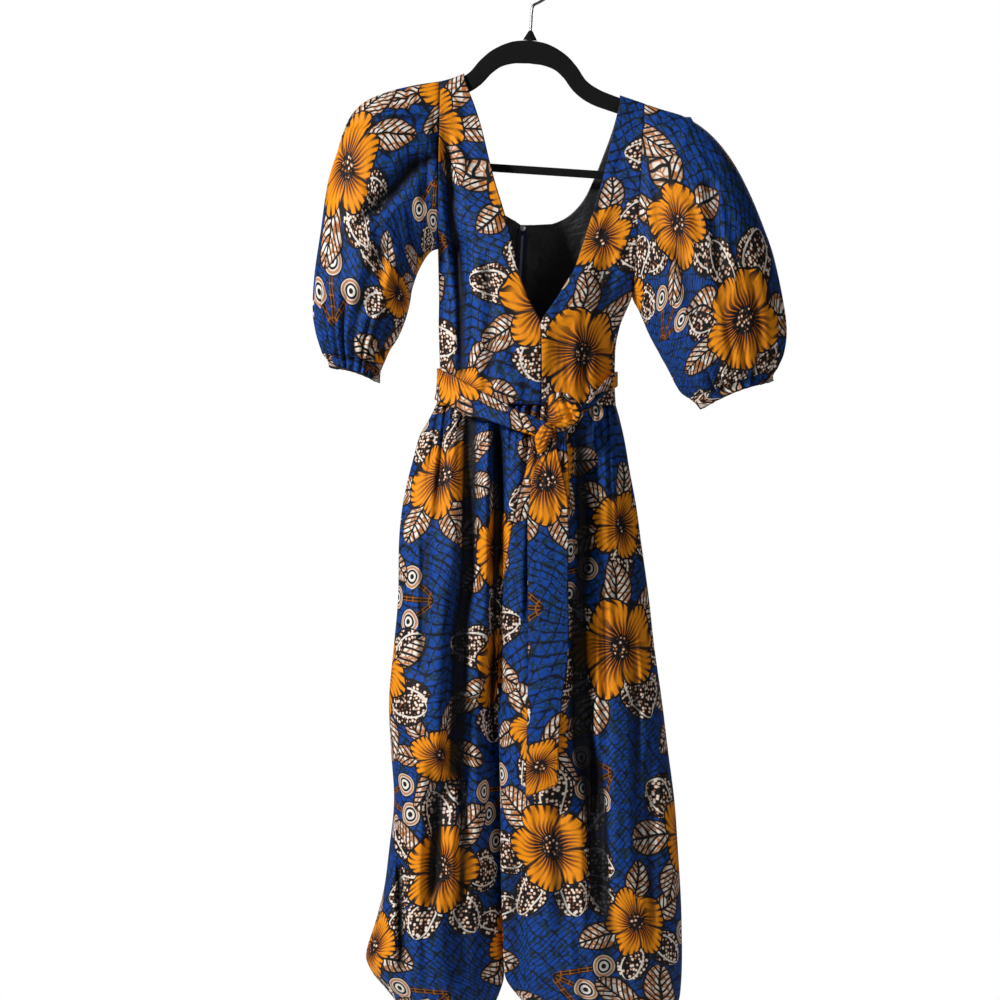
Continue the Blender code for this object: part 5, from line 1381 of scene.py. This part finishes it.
def backBandPoint(_, along, share, rise):
    # from the left side seam at 0 to the right one at 1
    side, u = ("l", 2 * along) if along <= 0.5 else ("r", 2 - 2 * along)
    left, right = belt["l"]["edges"], belt["r"]["edges"]
    top = mix(read(left, "top", 0), read(right, "top", 0), along)
    foot = mix(read(left, "foot", 0), read(right, "foot", 0), ease(1.6 * along - 0.6))
    z = mix(top, foot, share)
    x, y = beltPoint(side, "back", u, z, belt["back"]["end"])
    return Vector((x, max(y + rise * ease(4 * u), seamHalf), z))


def makeBand(node, part, spot, restsOn):
    sizes = belt[part]
    shares, rises = (list(column) for column in zip(*sizes["creases"]["rows"]))
    rows = []
    for i in range(sizes["rows"] + 1):
        share = i / sizes["rows"]
        rise = between(shares, rises, share)
        rows.append([spot(part, k / sizes["columns"], share, rise) for k in range(sizes["columns"] + 1)])
    cores = [Vector((0, 0, row[0].z)) for row in rows]
    clothPiece(node, rows, cores, seams="tb", cut=sizes["cut"], thickness=belt["thickness"],
               restsOn=restsOn)


def makeBelt():
    for side in sides:
        makeBand("belt_front_" + side, side, frontBandPoint, ["bodice_front_" + side])
    makeBand("belt_back", "back", backBandPoint, ["bodice_back_l", "bodice_back_r"])


# Each knot's outline is how far it reaches at each angle, and its creases are dents in the front half
knotCreases = "across along offset depth halfWidth"
knots = {
    "belt_knot": {
        "centre": (37.0, -64.0, -531.5), "front": 12.0, "back": 10.6, "shift": (20, -88), "spin": 0.9,
        "outline": table(
            "angle reach", (-147, 26.0), (-92, 20.0), (-32, 20.5), (-6, 21), (24, 18), (58, 17.5),
            (88, 20.5), (110, 22.5), (139, 25.5), (173, 21.5), (213, 26.0)),
        "creases": table(
            knotCreases, (0.94, 0.34, 4.0, 4.5, 3.4), (0.5, -0.87, 9.0, 3.0, 3.4),
            (-0.8, 0.6, 12.0, 2.2, 3.0), (0.98, 0.2, -6.0, 1.6, 1.6), (0.9, 0.44, -12.0, 1.3, 1.6),
            (0.4, -0.92, 15.0, 1.3, 1.4), (0.7, -0.7, 3.0, 1.5, 1.5), (0.97, 0.26, 10.0, 1.2, 1.3),
            (-0.6, 0.8, 6.0, 1.0, 1.2))},
    "belt_knot_wrap": {
        "centre": (10.3, -67.2, -565.0), "front": 7.5, "back": 6.2, "shift": (-22, -128), "spin": 0.3,
        "outline": table(
            "angle reach", (-105, 18.5), (-45, 8.0), (0, 8.7), (48, 17.5), (72, 20.0), (120, 11.0),
            (173, 10.0), (215, 10.8), (255, 18.5)),
        "creases": table(
            knotCreases, (0.9, -0.42, 1.0, 2.4, 2.6), (0.88, -0.47, -4.5, 1.1, 1.3),
            (0.92, -0.38, 5.5, 1.0, 1.3))},
}
knotGrid = {"levels": 48, "turns": 72, "topLevel": 84, "plump": 0.75}


def knotRow(sizes, level):
    # ring of the knot at a level, in radians towards the front
    first, turns = sizes["outline"]["rows"][0][0], knotGrid["turns"]
    row = []
    for k in range(turns + 1):
        turn = 360 * (k % turns) / turns
        angle = math.radians(turn)
        reach = read(sizes["outline"], "reach", first + (turn - first) % 360)
        reach *= math.cos(level) ** knotGrid["plump"]
        x, z = reach * math.cos(angle), reach * math.sin(angle)
        y = -sizes["front" if level > 0 else "back"] * math.sin(level)
        for across, along, offset, depth, halfWidth in sizes["creases"]["rows"]:
            off = (across * x + along * z - offset) / halfWidth
            y += depth * math.exp(-off ** 2) * max(math.sin(level), 0)
        row.append(Vector(sizes["centre"]) + Vector((x, y, z)))
    return row


def makeKnots():
    # closed, stuffed-looking turns of the sash, with the print laid on from the front
    count, top = knotGrid["levels"], knotGrid["topLevel"]
    for node, sizes in knots.items():
        rows = [knotRow(sizes, math.radians(mix(top, -top, i / count))) for i in range(count + 1)]
        bm, cells, (edgeLayer,) = gridOf(rows, "seamDistance")
        c, s = math.cos(sizes["spin"]), math.sin(sizes["spin"])
        shiftX, shiftY = sizes["shift"]
        spots = {}
        for vert, (i, j) in cells.items():
            vert[edgeLayer] = clothForm["noSeam"]
            off = rows[i][j] - Vector(sizes["centre"])
            spots[vert] = ((off.x * c - off.z * s + off.y * 0.5 + shiftX) * mm,
                           (off.x * s + off.z * c - off.y * 0.5 + shiftY) * mm)
        layFlat(bm, spots)
        closeUp(bm)
        addPiece(node, bm, "print")


# Tails: edges and distance in front of the middle by height; creases go by share of the width
tailCreases = "top foot reach halfWidth depth"
tails = {
    "belt_tail_front": {
        "slant": 15.0, "cut": (4, 62, 0.0), "shape": table(
            "z left right y", (-563, 16.4, 24.5, 61.4), (-574, 15.9, 25.5, 64.2), (-584, 10, 28, 68),
            (-601, 0.5, 32, 70), (-634, -5.5, 39, 71), (-661, -8, 40, 72), (-740, -8, 40, 73),
            (-817, -7.5, 40, 74), (-860, -8, 34, 74.5), (-913, -9.2, 29, 75), (-971, -10.4, 28, 75)),
        "creases": table(
            tailCreases, (0.3, 0.24, 150, 0.07, 2.6), (0.62, 0.66, 190, 0.06, 2.2),
            (0.46, 0.5, 90, 0.05, 1.2), (0.82, 0.9, 120, 0.05, 1.4), (0.12, 0.06, 110, 0.05, 1.2))},
    "belt_tail_behind": {
        "slant": 12.0, "cut": (70, 140, 0.1), "shape": table(
            "z left right y", (-550.4, 25, 37.5, 59.8), (-560, 25.8, 38, 60), (-573, 26.5, 38.5, 60.6),
            (-590, 22, 40, 62.5), (-612, 12, 41, 65.5), (-650, 6, 42, 67), (-720, 3, 38, 68),
            (-790, 2, 34, 69), (-846, 3, 31, 69.5)),
        "creases": table(tailCreases, (0.4, 0.36, 150, 0.07, 1.4), (0.7, 0.76, 120, 0.06, 1.2))},
}
tailGrid = {"rows": 140, "columns": 36, "bow": 2.2, "bowStart": 40, "creaseStart": 22, "ripple": 0.35}


def tailRow(sizes, along):
    shape, look = sizes["shape"], tailGrid
    top, foot = shape["rows"][0][0], shape["rows"][-1][0]
    z = mix(top, foot, along)
    row = []
    for k in range(look["columns"] + 1):
        u = k / look["columns"]
        x = mix(read(shape, "left", z), read(shape, "right", z), u)
        y = read(shape, "y", z) + look["bow"] * math.sin(math.pi * u) * ease((top - z) / look["bowStart"])
        for head, end, reach, halfWidth, depth in sizes["creases"]["rows"]:
            down = (top - z) / reach
            dent = depth * math.exp(-((u - mix(head, end, down)) / halfWidth) ** 2) * (1 - ease(down))
            y -= dent * min(1, (top - z) / look["creaseStart"])
        y += look["ripple"] * noise.noise(Vector((u * 2.2, z * 0.02, 5.0)))
        row.append(Vector((x, -y, z - sizes["slant"] * (1 - u) * along ** 3)))
    return row


def makeTails():
    for node, sizes in tails.items():
        rows = [tailRow(sizes, i / tailGrid["rows"]) for i in range(tailGrid["rows"] + 1)]
        cores = [Vector((row[0].x, 0, row[0].z)) for row in rows[::6]]
        clothPiece(node, rows, cores, seams="lrb", cut=sizes["cut"], thickness=belt["thickness"],
                   restsOn=["belt_knot"])


zipLook = {
    "top": -317, "foot": -500, "pitch": 1.5, "coilHalf": 0.75, "coilHeight": 0.7, "coilGap": 0.1,
    "coilSteps": 8, "coilSides": 5, "wireRadius": 0.28, "coilIn": 3.5, "tapeHalf": 6.0, "tapeRise": 8,
    "tapeIn": 2.9, "tapeDroop": 0.25, "tapeThickness": 0.4, "tapeRows": 60, "tapeColumns": 12,
    "flatAngle": 0.03, "sharpAngle": 0.6, "bevel": 0.00012,
}


def zipSpot(z, side, out):
    # beside the middle of the back by one measure, and out of its surface by the other
    return Vector((read(centreBack, "x", z) + side, read(centreBack, "y", z) + out, z))


def makeTape():
    look = zipLook
    count, columns, half = look["tapeRows"], look["tapeColumns"], look["tapeHalf"]
    rows = []
    for i in range(count + 1):
        z = mix(look["top"] + look["tapeRise"], look["foot"], i / count)
        row = []
        for k in range(columns + 1):
            droop = look["tapeDroop"] * abs(2 * k / columns - 1)
            row.append(zipSpot(z, mix(-half, half, k / columns), -look["tapeIn"] - droop))
        rows.append(row)
    clothPiece("zip_chain", rows, [Vector((0, 0, -400))], thickness=look["tapeThickness"], finish="tape",
               restsOn=["zip_slider"], name="zipTape")


def makeCoils():
    # two coils of nylon wire that mesh, the right one half a turn above the left
    look = zipLook
    half, high, steps = look["coilHalf"], look["coilHeight"], look["coilSteps"]
    turns = round((look["top"] - look["foot"]) / look["pitch"])
    for sign, word in ((-1, "L"), (1, "R")):
        rings = []
        for k in range(turns * steps + 1):
            angle = math.tau * k / steps
            z = mix(look["top"], look["foot"], k / (turns * steps)) + (look["pitch"] / 2 if sign > 0 else 0)
            centre = zipSpot(z, sign * (half + half * math.cos(angle)) - sign * look["coilGap"],
                             -look["coilIn"] + high * math.sin(angle))
            fall = -look["pitch"] / math.tau
            run = Vector((-sign * half * math.sin(angle), high * math.cos(angle), fall)).normalized()
            first = run.cross(Vector((0, 0, 1))).normalized()
            second = run.cross(first)
            rings.append([centre + (first * c + second * s) * look["wireRadius"]
                          for c, s in circle(look["coilSides"])])
        loft("", rings, "coil", "zipCoil" + word)


def makeSlider(node, body):
    # the solid's own shape with fine bevels
    bm = bmesh.new()
    bm.from_mesh(cadNodes[node].data)
    bmesh.ops.remove_doubles(bm, verts=bm.verts, dist=weldGap)
    bmesh.ops.recalc_face_normals(bm, faces=bm.faces)
    bmesh.ops.dissolve_limit(bm, angle_limit=zipLook["flatAngle"], verts=bm.verts, edges=bm.edges)
    sharp = [e for e in bm.edges if len(e.link_faces) == 2 and e.calc_face_angle() > zipLook["sharpAngle"]]
    bmesh.ops.bevel(bm, geom=sharp, offset=zipLook["bevel"], segments=2, profile=0.5, affect="EDGES",
                    material=-1)
    bmesh.ops.triangulate(bm, faces=bm.faces)
    addPiece(node, bm, "dull", body=body)


makeBodice()
print("bodice made")
makeSleeves()
print("sleeves made")
makeLegs()
print("legs made")
makeBelt()
makeKnots()
makeTails()
print("sash made")
makeArms()
makeBar()
makeCollar()
makeHook()
print("hanger made")
makeTape()
makeCoils()
makeSlider("zip_slider", hangingBody)
makeSlider("zip_pull", pullBody)
print("zip made")
